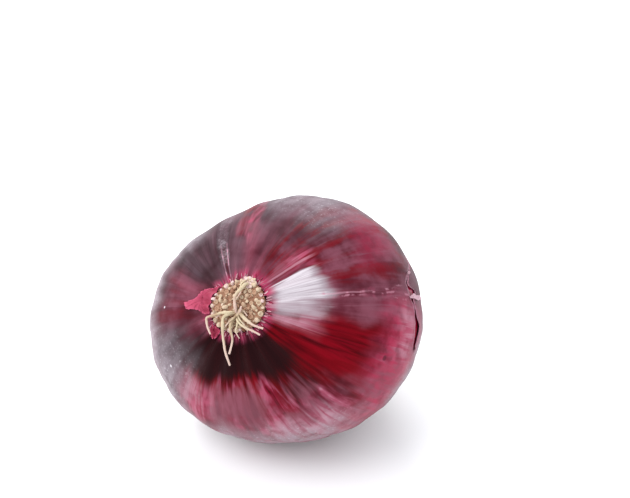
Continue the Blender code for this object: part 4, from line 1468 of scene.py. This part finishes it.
@dataclass
class RootPlate(OnionPiece):
    """The corky root plate with its stubs, the nubs round its rim, the grains and the dried roots.

    Attributes:
        rise: How far the middle of the plate's face stands out of the bulb.
        dome: How far its rim lies lower.
        tuft_middle: The middle of the tuft, across and up, in millimetres.
        tuft_lean: How far the tuft's middle leans outwards, and how much more its outer edge does.
        root_sizes: The radius of each dried root at its foot and tip, in millimetres.
        routes: The dried roots' routes on the onion's own axes, in millimetres.
        stub_kinds: The outlines of the small pieces, tip first: radius, height and shift to the side.
    """

    radius: float = 0.0079
    thickness: float = 0.0030
    rise: float = 0.0011
    dome: float = 0.0009
    rim: float = 0.0003
    bevel: float = 0.0004
    columns: int = 120
    rings: int = 30
    disc_tone: float = 0.2
    stubs: Sprouts = Sprouts(
        66, 0.00056, 4.0, (0.8, 1.15), (0.5, 1.15), 0.0, (-8.0, 22.0), 0.7, 0.5, 0.2, 0.6
    )
    stub_field: float = 0.0067
    nubs: Sprouts = Sprouts(25, 0.00050, 3.0, (0.85, 1.1), (0.7, 1.0), 38.0, (-6.0, 8.0), 0.8, 0.6, 1.35, 0.0)
    nub_place: float = 0.0074
    golden_turn: float = 137.508
    draw_seed: int = 11
    grains: int = 260
    grain_field: float = 0.0080
    grain_size: float = 0.00040
    grain_wander: float = 14.0
    grain_leans: Span = (-35.0, 45.0)
    grain_shades: Span = (0.15, 0.9)
    tuft_middle: Span = (0.6, 7.3)
    tuft_reach: float = 2.0
    tuft_nubs: int = 26
    tuft_lean: Span = (20.0, 26.0)
    tuft_sizes: Span = (0.95, 1.4)
    tuft_edge: float = 0.0084
    tuft_shade: float = 1.1
    root_sizes: Outline = (
        (0.44, 0.27), (0.56, 0.30), (0.46, 0.28), (0.54, 0.30), (0.45, 0.26), (0.52, 0.42), (0.62, 0.28),
    )
    routes: tuple[Route, ...] = (
        ((1.6, -1.6, 34.6), (0.4, -2.2, 36.4), (-2.2, -3.2, 37.8), (-4.5, -4.7, 37.7), (-6.9, -6.2, 37.1),
         (-6.8, -7.4, 36.6), (-6.1, -8.6, 36.5), (-4.4, -10.4, 36.3)),
        ((0.8, -2.0, 34.4), (-0.6, -2.8, 36.6), (-1.7, -4.4, 37.6), (-1.1, -6.7, 37.5), (-0.2, -9.5, 36.7),
         (0.8, -11.7, 36.0), (1.7, -13.7, 35.2), (3.6, -16.7, 33.5)),
        ((1.0, -2.8, 34.6), (0.9, -4.9, 37.0), (1.5, -7.1, 37.2), (2.8, -9.0, 36.7), (3.1, -11.0, 36.1),
         (2.9, -13.6, 35.1)),
        ((1.2, -0.6, 34.6), (2.2, -1.2, 37.2), (3.9, -2.1, 37.9), (5.9, -2.9, 37.6), (8.0, -3.4, 37.1),
         (10.6, -3.3, 36.2)),
        ((1.0, -2.6, 34.6), (2.2, -3.6, 36.8), (4.0, -4.5, 37.4), (6.2, -4.9, 37.1), (8.2, -5.0, 36.6),
         (10.2, -5.3, 35.8)),
        ((0.8, 7.2, 34.4), (0.7, 6.6, 36.9), (0.4, 5.2, 37.6), (-0.3, 3.6, 37.9), (-0.4, 1.8, 37.9),
         (0.4, -0.2, 37.5), (1.0, -2.0, 36.0)),
        ((1.2, -2.8, 34.6), (2.0, -2.4, 37.0), (2.8, -1.1, 38.2), (3.2, 0.3, 39.4)),
    )
    fibres: tuple[Route, ...] = (
        ((0.9, -1.6, 36.0), (-0.6, -2.4, 37.4), (-2.8, -3.6, 37.5), (-4.2, -5.4, 37.0)),
        ((1.4, -2.2, 36.2), (1.2, -3.8, 37.4), (0.2, -5.4, 37.3), (-0.6, -7.0, 36.9)),
        ((1.6, -1.8, 36.4), (3.2, -3.2, 37.7), (5.0, -4.2, 37.2), (6.6, -5.6, 36.6)),
        ((0.6, -1.0, 36.4), (-0.2, 0.4, 37.6), (0.3, 2.2, 37.9), (0.6, 4.0, 37.6)),
        ((1.8, -1.4, 36.4), (2.6, -0.6, 37.6), (3.8, -0.8, 37.5), (5.0, -1.6, 37.2)),
        ((2.4, -3.4, 36.4), (3.0, -5.2, 37.1), (3.2, -7.0, 36.8), (4.6, -8.4, 36.0)),
        ((-0.2, 7.8, 35.6), (-0.4, 6.2, 37.2), (0.4, 4.4, 37.6), (0.2, 2.8, 37.6)),
    )
    fibre_size: Span = (0.30, 0.16)
    unevenness: Span = (0.86, 1.16)
    stub_kinds: tuple[tuple[str, Route], ...] = (
        ("round_stub", (
            (0.42, 1.12, 0.05), (0.78, 0.85, 0.04), (0.98, 0.35, 0.0), (0.94, -0.3, 0.0), (0.8, -1.5, 0.0),
        )),
        ("bent_stub", (
            (0.3, 1.35, 0.75), (0.55, 1.28, 0.62), (0.7, 0.95, 0.4), (0.8, 0.4, 0.1), (0.86, -0.3, 0.0),
            (0.8, -1.5, 0.0),
        )),
        ("hollow_stub", (
            (0.25, 0.45, 0.0), (0.5, 0.62, 0.0), (0.68, 0.9, 0.0), (0.9, 0.78, 0.0), (0.98, 0.2, 0.0),
            (0.92, -0.4, 0.0), (0.8, -1.5, 0.0),
        )),
    )

    def build(self, cork: Material, stub: Material, root: Material) -> None:
        """Makes the plate and all that grows on it.

        Args:
            cork: The finish of the disc.
            stub: The finish of the stubs, nubs and grains.
            root: The finish of the dried roots.
        """
        self.hand_over(self._disc(cork), "dry_root", "root_plate")
        kinds = collected("stub_kinds", [self._turned_piece(*kind) for kind in self.stub_kinds])
        stub_growth = Growth(0.75, 1.35, 3.1, 5).recipe("stub_growth", stub, kinds)
        self.hand_over(stub_growth.run(self._stub_points()), "dry_root")
        grain_growth = Growth(0.5, 1.1, 3.1, 9).recipe("grain_growth", stub, kinds)
        self.hand_over(grain_growth.run(self._grain_points()), "dry_root")
        dispersed(kinds)
        strands = strand_recipe("root_strands", root, 10, 0.0003, 0.00011)
        self.hand_over(strands.run(self._root_lines()), "dry_root")

    def top(self, radius: Array | float) -> Array | float:
        """The height of the plate's face at a distance from the axis."""
        return self.form.root_height + self.rise - self.dome * (np.asarray(radius) / self.radius) ** 2

    def _share(self, turn: Array) -> Array:
        """The plate's uneven outline, as a share of its radius."""
        return self.form.section(wrapped(turn), np.full(np.shape(turn), self.form.skin_opens_at))

    def _disc(self, material: Material) -> Thing:
        """The disc itself, with a pitted face."""
        turns = even_turns(self.columns)
        under = self.form.root_height + self.rise - self.thickness
        reaches = np.linspace(0.0, 1.0, self.rings)[1:] * (self.radius - self.rim)
        outline = [(reach, float(self.top(reach))) for reach in reaches]
        outline.append((self.radius, float(self.top(self.radius)) - self.bevel))
        outline += [(self.radius, under + self.bevel), (self.radius - self.bevel, under)]
        share, angles = self._share(turns), np.radians(turns)
        rings = np.array([around_axis(reach * share, angles, height) for reach, height in outline])
        poles = self.form.placed(np.array([[0.0, 0.0, float(self.top(0.0))], [0.0, 0.0, under]]))
        mesh = closed_mesh("corky_disc", self.form.placed(rings), poles[0], poles[1])
        store_number(mesh, "turn", np.zeros(len(mesh.vertices)))
        store_number(mesh, "tone", np.full(len(mesh.vertices), self.disc_tone))
        relief = Relief(0, 0.0, 0.00035, 1100.0).recipe("disc_relief", material)
        return relief.run(shown("corky_disc", mesh, material))

    def _growth_points(self, name: str, rows: list[tuple[float, ...]]) -> Thing:
        """Points for small pieces to grow on.

        Args:
            name: The piece's name.
            rows: For each point its turn, distance from the axis, lean outwards, size and shade.

        Returns:
            An object whose points hold the direction, size and shade of what grows there.
        """
        turn, reach, lean, size, shade = np.array(rows).T
        out = around_axis(1.0, np.radians(turn), 0.0)
        axis = np.array([0.0, 0.0, 1.0])
        foot = out * (reach * self._share(turn))[:, None] + axis * self.top(reach)[:, None]
        ahead = out * np.sin(np.radians(lean))[:, None] + axis * np.cos(np.radians(lean))[:, None]
        mesh = mesh_of(name, self.form.placed(foot), [])
        store_vector(mesh, "ahead", ahead @ self.form.turned.T)
        store_vector(mesh, "up", out @ self.form.turned.T)
        store_number(mesh, "size", size)
        store_number(mesh, "shade", shade)
        return shown(name, mesh)

    def _stub_points(self) -> Thing:
        """Where the stubs and the rim's nubs stand, in the same order and places as on the solid."""
        draw = np.random.default_rng(self.draw_seed)
        rows = []
        for number in range(self.stubs.count):
            reach = spiral_reach(number, self.stubs.count, self.stub_field, 0.4)
            rows.append(self.stubs.row(number * self.golden_turn, reach, draw))
        for turn in even_turns(self.nubs.count):
            rows.append(self.nubs.row(turn, self.nub_place, draw))
        middle = math.hypot(*self.tuft_middle)
        for number in range(self.tuft_nubs):
            angle = math.radians(number * self.golden_turn)
            spread = spiral_reach(number, self.tuft_nubs, self.tuft_reach)
            across = self.tuft_middle[0] + spread * math.cos(angle)
            up = self.tuft_middle[1] + spread * math.sin(angle)
            reach = math.hypot(across, up)
            lean = self.tuft_lean[0] + self.tuft_lean[1] * (reach - middle) / self.tuft_reach
            size = self.nubs.radius * draw.uniform(*self.tuft_sizes)
            turn = math.degrees(math.atan2(up, across))
            rows.append((turn, min(reach * MILLIMETRE, self.tuft_edge), lean, size, self.tuft_shade))
        return self._growth_points("root_stubs", rows)

    def _grain_points(self) -> Thing:
        """Small grains that fill the plate between the stubs."""
        draw = np.random.default_rng(self.draw_seed + 1)
        rows = []
        for number in range(self.grains):
            reach = spiral_reach(number, self.grains, self.grain_field)
            turn = number * self.golden_turn + draw.uniform(-self.grain_wander, self.grain_wander)
            lean = draw.uniform(*self.grain_leans)
            rows.append((turn, reach, lean, self.grain_size, draw.uniform(*self.grain_shades)))
        return self._growth_points("root_grains", rows)

    def _turned_piece(
        self, name: str, outline: Route, sides: int = 9, flutes: int = 3, depth: float = 0.1
    ) -> Mesh:
        """A small, slightly fluted round piece from its outline, which is given tip first."""
        angles = np.radians(even_turns(sides))
        rings = []
        for radius, height, shift in outline:
            ring = around_axis(radius, angles, height)
            ring[:, 0] = ring[:, 0] * (1.0 + depth * np.cos(flutes * angles)) + shift
            rings.append(ring)
        first = np.array([outline[0][2], 0.0, outline[0][1]])
        last = np.array([outline[-1][2], 0.0, outline[-1][1] - depth])
        return closed_mesh(name, np.array(rings), first, last)

    def _root_lines(self) -> Thing:
        """The routes of the dried roots, as lines of points with a thickness."""
        points, edges, thick, along = [], [], [], []
        draw = np.random.default_rng(self.draw_seed + 2)
        strands = list(zip(self.routes, self.root_sizes))
        strands += [(route, self.fibre_size) for route in self.fibres]
        for route, (foot, tip) in strands:
            start = len(points)
            shares = np.linspace(0.0, 1.0, len(route))
            uneven = draw.uniform(*self.unevenness, len(route))
            points += [tuple(p) for p in self.form.placed(np.array(route) * MILLIMETRE)]
            thick += list((foot + (tip - foot) * shares) * uneven * MILLIMETRE)
            along += list(shares)
            edges += [(start + i, start + i + 1) for i in range(len(route) - 1)]
        mesh = bpy.data.meshes.new("dried_roots")
        mesh.from_pydata(points, edges, [])
        store_number(mesh, "thick", np.array(thick))
        store_number(mesh, "along", np.array(along))
        return shown("dried_roots", mesh)


@dataclass
class SkinScrap(OnionPiece):
    """A scrap of an older skin that clings to the root plate, curled up towards its tip.

    Attributes:
        flutter_count: How many waves would run round the onion.
        tones: The tone of its middle, and what is added at its edge and towards its tip.
        tip_tone: The polar angle where the tip's tone starts, and the angle over which it is added.
    """

    name: str
    node: str
    outline: Outline
    lift: float = 0.0007
    curl: float = 0.0009
    curling: Span = (17.0, 27.0)
    flutter: float = 0.00018
    flutter_count: int = 19
    fluttering: Span = (14.0, 20.0)
    thickness: float = 0.00016
    rings: int = 14
    steps: int = 10
    ragged: float = 0.35
    tones: Triple = (0.35, 0.5, 0.25)
    tip_tone: Span = (15.0, 12.0)

    def build(self, material: Material) -> Thing:
        """Makes the scrap."""
        edge = outline_places(self.outline, self.steps)
        phase = even_turns(len(edge))
        edge[:, 0] += self.ragged * 2.0 * wavering(phase, (0.5, 23, 0.0), (0.35, 41, 30.0))
        edge[:, 1] += self.ragged * wavering(phase, (0.5, 29, 60.0), (0.3, 47, 0.0))
        places, shares = rings_to(edge, self.rings)
        turn, polar = places[..., 0], places[..., 1]
        waves = self.flutter * np.sin(np.radians(turn * self.flutter_count))
        rise = self.lift + self.curl * smooth_step(polar, *self.curling)
        rise = rise + waves * smooth_step(polar, *self.fluttering)
        points = self.form.placed(self.form.local(turn, polar, rise))
        mesh = closed_mesh(self.name, points[1:], points[0, 0])
        middle, at_edge, at_tip = self.tones
        tone = middle + at_edge * shares[..., 0] ** 6 + at_tip * (polar - self.tip_tone[0]) / self.tip_tone[1]
        store_number(mesh, "tone", np.append(tone[1:].ravel(), tone[0, 0]))
        scrap = shown(self.name, mesh, material)
        thicken(scrap, self.thickness, 1.0)
        return self.hand_over(settle(scrap), "dry_scrap", self.node)


@dataclass
class PlateFringe(OnionPiece):
    """The fringe of torn skin round the root plate: short pointed tatters in magenta and pale pink.

    Attributes:
        slant: How far its tip may point to the side, in degrees of turn.
        reach: How far past its foot it points, in degrees.
    """

    count: int = 130
    at: float = 11.9
    length: float = 0.0013
    wander: float = 1.6
    spread: Span = (-0.6, 1.6)
    foot_lift: float = 0.00003
    slant: float = 4.0
    reach: float = 3.0
    tip_lift: float = 0.0005
    shades: Span = (-0.1, 1.1)
    kinds: tuple[tuple[str, float], ...] = (("broad_tatter", 0.22), ("slim_tatter", 0.10))
    growth: Growth = Growth(0.4, 1.3, 0.5, 31)
    seed: int = 21

    def build(self, material: Material) -> Thing:
        """Makes the fringe."""
        draw = np.random.default_rng(self.seed)
        turn = wrapped(even_turns(self.count) + draw.uniform(-self.wander, self.wander, self.count))
        polar = self.at + draw.uniform(*self.spread, self.count)
        foot = self.form.local(turn, polar, self.foot_lift)
        slanted = turn + draw.uniform(-self.slant, self.slant, self.count)
        lift = draw.uniform(0.0, self.tip_lift, self.count)
        ahead = self.form.local(slanted, polar + self.reach, lift) - foot
        above = self.form.local(turn, polar, MILLIMETRE) - foot
        mesh = mesh_of("plate_fringe", self.form.placed(foot), [])
        store_vector(mesh, "ahead", ahead @ self.form.turned.T)
        store_vector(mesh, "up", above @ self.form.turned.T)
        store_number(mesh, "size", np.full(self.count, self.length))
        store_number(mesh, "shade", draw.uniform(*self.shades, self.count))
        kinds = collected("tatter_kinds", [self._tatter(name, width) for name, width in self.kinds])
        fringe = self.growth.recipe("fringe_growth", material, kinds).run(shown("plate_fringe", mesh))
        dispersed(kinds)
        return self.hand_over(fringe, "dry_scrap")

    def _tatter(
        self, name: str, width: float, thick: float = 0.02, sunk: float = 0.35, curl: float = 0.1
    ) -> Mesh:
        """A pointed tatter, one unit long, curled up a little at its tip."""
        shares = np.linspace(0.0, 1.0, 6)
        half = width * np.sqrt(1.0 - shares**1.6) + 0.01
        rows = []
        for z, w, x in zip((1.0 + sunk) * shares - sunk, half, curl * shares**2):
            outer = [(x + thick, -w, z), (x + thick + 0.03, 0.0, z), (x + thick, w, z)]
            rows.append(outer + [(x, w, z), (x - 0.01, 0.0, z), (x, -w, z)])
        rings = np.array(rows)[::-1]
        return closed_mesh(name, rings, rings[0].mean(0), rings[-1].mean(0))


@dataclass
class TearFlake(OnionPiece):
    """A pale flake of skin that bridges the tear, with a small sliver beside it.

    Attributes:
        outlines: The corners of the flake and of the sliver: turn and polar angle.
        wave_count: Radians of wave to a degree of turn.
        darker: How much darker the sliver is.
    """

    outlines: tuple[Outline, ...] = (
        ((28.4, 84.0), (29.2, 83.4), (29.8, 85.6), (30.6, 86.8), (30.2, 90.0), (30.7, 94.0), (29.6, 98.4),
         (28.9, 95.0), (28.2, 92.0), (28.6, 88.0)),
        ((38.6, 85.4), (39.4, 85.2), (40.2, 87.0), (39.8, 88.6), (39.0, 87.4)),
    )
    steps: int = 6
    rings: int = 6
    lift: float = 0.00015
    rise: float = 0.0004
    rising: Span = (86.0, 96.0)
    wave: float = 0.00012
    wave_count: float = 2.1
    thickness: float = 0.0002
    tone: float = 0.95
    darker: float = 0.4

    def build(self, material: Material) -> Thing:
        """Makes the flake and its sliver as one piece."""
        points, faces, tones = [], [], []
        for number, outline in enumerate(self.outlines):
            places, _ = rings_to(outline_places(outline, self.steps), self.rings)
            turn, polar = places[..., 0], places[..., 1]
            rise = self.lift + self.rise * smooth_step(polar, *self.rising)
            rise = rise + self.wave * np.sin(turn * self.wave_count)
            flake = self.form.placed(self.form.local(turn, polar, rise))
            start = len(points)
            count, columns = flake.shape[0] - 1, flake.shape[1]
            points += [tuple(p) for p in flake[1:].reshape(-1, 3)] + [tuple(flake[0, 0])]
            faces += (ring_faces(count, columns) + start).tolist()
            faces += [(start + count * columns, start + j, start + (j + 1) % columns) for j in range(columns)]
            tones += [self.tone - self.darker * number] * (count * columns + 1)
        mesh = mesh_of("tear_flake", np.array(points), faces)
        store_number(mesh, "tone", np.array(tones))
        flakes = shown("tear_flake", mesh, material)
        thicken(flakes, self.thickness)
        settle(flakes)
        flakes.data.flip_normals()
        return self.hand_over(flakes, "red_skin")


@dataclass
class DryNeck(OnionPiece):
    """What shows in the neck's open end: rolled papery layers and the fibres between them.

    Attributes:
        layers: For each layer its share of the neck's width, how far it reaches past the neck's end and the
            phase of its folds.
        sunk: How far back from that reach a layer's end lies.
        tones: A layer's tone where it starts, and what is added at its end.
        fibre_slope: How steeply the fibres stand, against one unit outwards.
        fibre_outline: A fibre's height and radius at each of its rings, tip first.
    """

    layers: Route = ((0.74, 0.0006, 20.0), (0.5, 0.0010, 75.0), (0.28, 0.0014, 130.0))
    columns: int = 96
    rows: int = 14
    depth: float = 0.006
    sunk: float = 0.0006
    ragged: float = 0.0009
    clearance: float = 0.0003
    thickness: float = 0.00022
    tones: Span = (0.2, 0.6)
    fibres: int = 46
    fibre_length: float = 0.0019
    fibre_foot: float = 0.0008
    fibre_slope: float = -5.0
    fibre_outline: Outline = ((1.0, 0.02), (0.6, 0.05), (0.2, 0.07), (-0.3, 0.07))
    growth: Growth = Growth(0.5, 1.1, 3.1, 17)
    seed: int = 8

    def build(self, paper: Material, fibre: Material) -> None:
        """Makes the layers and the fibres.

        Args:
            paper: The finish of the layers.
            fibre: The finish of the fibres.
        """
        self.hand_over(self._layers(paper), "red_skin")
        kinds = collected("fibre_kinds", [self._fibre()])
        fibres = self.growth.recipe("fibre_growth", fibre, kinds).run(self._fibre_points())
        dispersed(kinds)
        self.hand_over(fibres, "dry_root")

    def _ring(self, turns: Array, share: float, gather: float) -> Array:
        """A ring of a layer in the neck's end: a share of the neck's own ring, in folds."""
        ring = self.form.local(turns, np.full(len(turns), self.form.end), folds=0.0)
        folded = 1.0 + wavering(turns, (0.16, 7, gather), (0.08, 13, 0.0))
        ring[:, :2] *= (share * folded)[:, None]
        ring[:, 2] = ring[:, 2].mean()
        return ring

    def _layers(self, material: Material) -> Thing:
        """The rolled layers, one inside the other, each with a ragged end."""
        turns = even_turns(self.columns)
        points, faces, tones = [], [], []
        for share, reach, gather in self.layers:
            start = len(points)
            ragged = wavering(turns, (0.4, 5, gather), (0.3, 11, 0.0), (0.25, 23, 40.0)) * self.ragged
            for row in np.linspace(0.0, 1.0, self.rows):
                ring = self._ring(turns, share, gather)
                ring[:, 2] += self.depth * (1.0 - row) + (self.sunk - reach) * row - ragged * row**3
                points += [tuple(p) for p in self.form.placed(ring, self.clearance)]
                tones += [self.tones[0] + self.tones[1] * row] * self.columns
            faces += (ring_faces(self.rows, self.columns) + start).tolist()
        mesh = mesh_of("neck_layers", np.array(points), faces)
        store_number(mesh, "tone", np.array(tones))
        layers = shown("neck_layers", mesh, material)
        thicken(layers, self.thickness)
        return settle(layers)

    def _fibre(self, sides: int = 5, bend: float = 0.12) -> Mesh:
        """A dry fibre, one unit long, bent a little towards its tip."""
        angles = np.radians(even_turns(sides))
        rings = []
        for height, radius in self.fibre_outline:
            ring = around_axis(radius, angles, height)
            ring[:, 0] += bend * max(height, 0.0) ** 2
            rings.append(ring)
        tip, foot = np.array([0.13, 0.0, 1.03]), np.array([0.0, 0.0, -0.32])
        return closed_mesh("dry_fibre", np.array(rings), tip, foot)

    def _fibre_points(self) -> Thing:
        """Where the fibres stand, between the layers of the neck."""
        draw = np.random.default_rng(self.seed)
        turn = draw.uniform(-HALF_TURN, HALF_TURN, self.fibres)
        share = draw.uniform(0.1, 0.9, self.fibres)
        foot = np.array([self._ring(np.array([t]), s, 0.0)[0] for t, s in zip(turn, share)])
        foot[:, 2] += self.fibre_foot
        spread = around_axis(1.0, np.radians(turn), self.fibre_slope)
        mesh = mesh_of("neck_fibres", self.form.placed(foot, self.fibre_length), [])
        store_vector(mesh, "ahead", spread @ self.form.turned.T)
        store_vector(mesh, "up", np.tile([0.0, 0.0, 1.0], (self.fibres, 1)))
        store_number(mesh, "size", np.full(self.fibres, self.fibre_length))
        store_number(mesh, "shade", draw.uniform(0.2, 1.0, self.fibres))
        return shown("neck_fibres", mesh)


@dataclass
class Studio:
    """The pale surface that the onion lies on, the soft light and the camera.

    Attributes:
        floor_drop: How far the floor lies under the onion, so that the two don't touch.
        lamps: For each lamp its name, its place from the onion's middle and its power.
        camera_azimuth: The side that it looks from, in degrees from -Y.
    """

    form: OnionForm
    floor_size: float = 3.0
    floor_drop: float = 0.00005
    floor_colour: Colour = (0.9, 0.9, 0.9, 1.0)
    floor_roughness: float = 0.6
    floor_ior: float = 1.3
    floor_specular: float = 0.5
    world_colour: Colour = (0.93, 0.96, 1.0, 1.0)
    world_strength: float = 1.3
    lamp_size: float = 0.50
    lamps: tuple[tuple[str, Wave, float], ...] = (
        ("window", (-0.26, -0.40, 0.52), 3.0),
        ("ceiling", (-0.40, 0.34, 0.60), 3.4),
    )
    camera_offset: Triple = (0.22386, -0.34740, 0.33899)
    camera_azimuth: float = 31.6
    camera_elevation: float = 37.0
    lens: float = 100.0
    sensor: float = 36.0
    near_clip: float = 0.01
    far_clip: float = 20.0

    def build(self) -> None:
        """Makes the floor, the lights and the camera."""
        self._floor()
        self._world()
        for name, place, power in self.lamps:
            self._light(name, Vector(place), power)
        self._camera()

    def _floor(self) -> None:
        """A plain pale floor."""
        half = self.floor_size / 2.0
        signs = ((-1, -1), (1, -1), (1, 1), (-1, 1))
        corners = np.array([(half * x, half * y, -self.floor_drop) for x, y in signs])
        g = SurfaceGraph("pale_floor")
        g.dress(self.floor_colour, self.floor_roughness, self.floor_ior, self.floor_specular)
        shown("floor", mesh_of("floor", corners, [(0, 1, 2, 3)]), g.material)

    def _world(self) -> None:
        """Even light from all round."""
        world = bpy.data.worlds.new("studio")
        bpy.context.scene.world = world
        world.use_nodes = True
        background = world.node_tree.nodes["Background"]
        background.inputs["Color"].default_value = self.world_colour
        background.inputs["Strength"].default_value = self.world_strength

    def _light(self, name: str, place: Vector, power: float) -> None:
        """A soft lamp that faces the onion."""
        lamp = bpy.data.lights.new(name, "AREA")
        lamp.shape = "RECTANGLE"
        lamp.size, lamp.size_y, lamp.energy = self.lamp_size, self.lamp_size, power
        made = bpy.data.objects.new(name, lamp)
        bpy.context.scene.collection.objects.link(made)
        made.location = Vector(self.form.middle) + place
        made.rotation_euler = place.to_track_quat("Z", "Y").to_euler()

    def _camera(self) -> None:
        """The camera, which looks down at the root end."""
        lens = bpy.data.cameras.new("camera")
        lens.lens, lens.sensor_width = self.lens, self.sensor
        lens.clip_start, lens.clip_end = self.near_clip, self.far_clip
        made = bpy.data.objects.new("camera", lens)
        bpy.context.scene.collection.objects.link(made)
        azimuth, elevation = math.radians(self.camera_azimuth), math.radians(self.camera_elevation)
        level = math.cos(elevation)
        back = Vector((math.sin(azimuth) * level, -math.cos(azimuth) * level, math.sin(elevation)))
        made.location = Vector(self.form.middle) + Vector(self.camera_offset)
        made.rotation_euler = (-back).to_track_quat("-Z", "Y").to_euler()
        bpy.context.scene.camera = made
        bpy.context.scene.view_settings.view_transform = "Standard"


LARGE_SCRAP: Outline = (
    (156.0, 12.2), (165.0, 13.8), (173.0, 16.4), (183.0, 18.2), (191.0, 20.6), (196.0, 24.2), (202.0, 22.8),
    (202.5, 19.4), (204.5, 17.0), (211.0, 15.0), (213.0, 12.8), (205.0, 12.2), (180.0, 12.0),
)
SMALL_SCRAP: Outline = (
    (231.0, 12.9), (240.0, 15.0), (248.0, 17.6), (254.0, 16.0), (255.0, 12.8), (243.0, 12.2),
)


def main() -> None:
    """Loads the solids, dresses them and lights them."""
    logging.basicConfig(level=logging.INFO, format="%(name)s %(message)s")
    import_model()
    form = OnionForm()
    Studio(form).build()
    PaperySkin(form).build(SkinFinish().build())
    FleshyBulb(form).build(FleshFinish().build())
    stub_cork = CorkFinish("root_stubs", relief=0.00006)
    RootPlate(form).build(CorkFinish("corky_plate").build(), stub_cork.build(), RootFinish().build())
    scrap_paper = PaperFinish("pink_paper", paint(150, 24, 58), paint(214, 88, 122)).build()
    SkinScrap(form, "large_scrap", "skin_scrap_1", LARGE_SCRAP).build(scrap_paper)
    SkinScrap(form, "small_scrap", "skin_scrap_2", SMALL_SCRAP).build(scrap_paper)
    PlateFringe(form).build(PaperFinish("fringe_paper", paint(150, 24, 62), paint(226, 176, 186)).build())
    TearFlake(form).build(PaperFinish("flake_paper", paint(150, 78, 96), paint(228, 182, 194)).build())
    neck_paper = PaperFinish("neck_paper", paint(120, 62, 58), paint(206, 168, 128)).build()
    DryNeck(form).build(neck_paper, RootFinish().build())


if __name__ == "__main__":
    main()
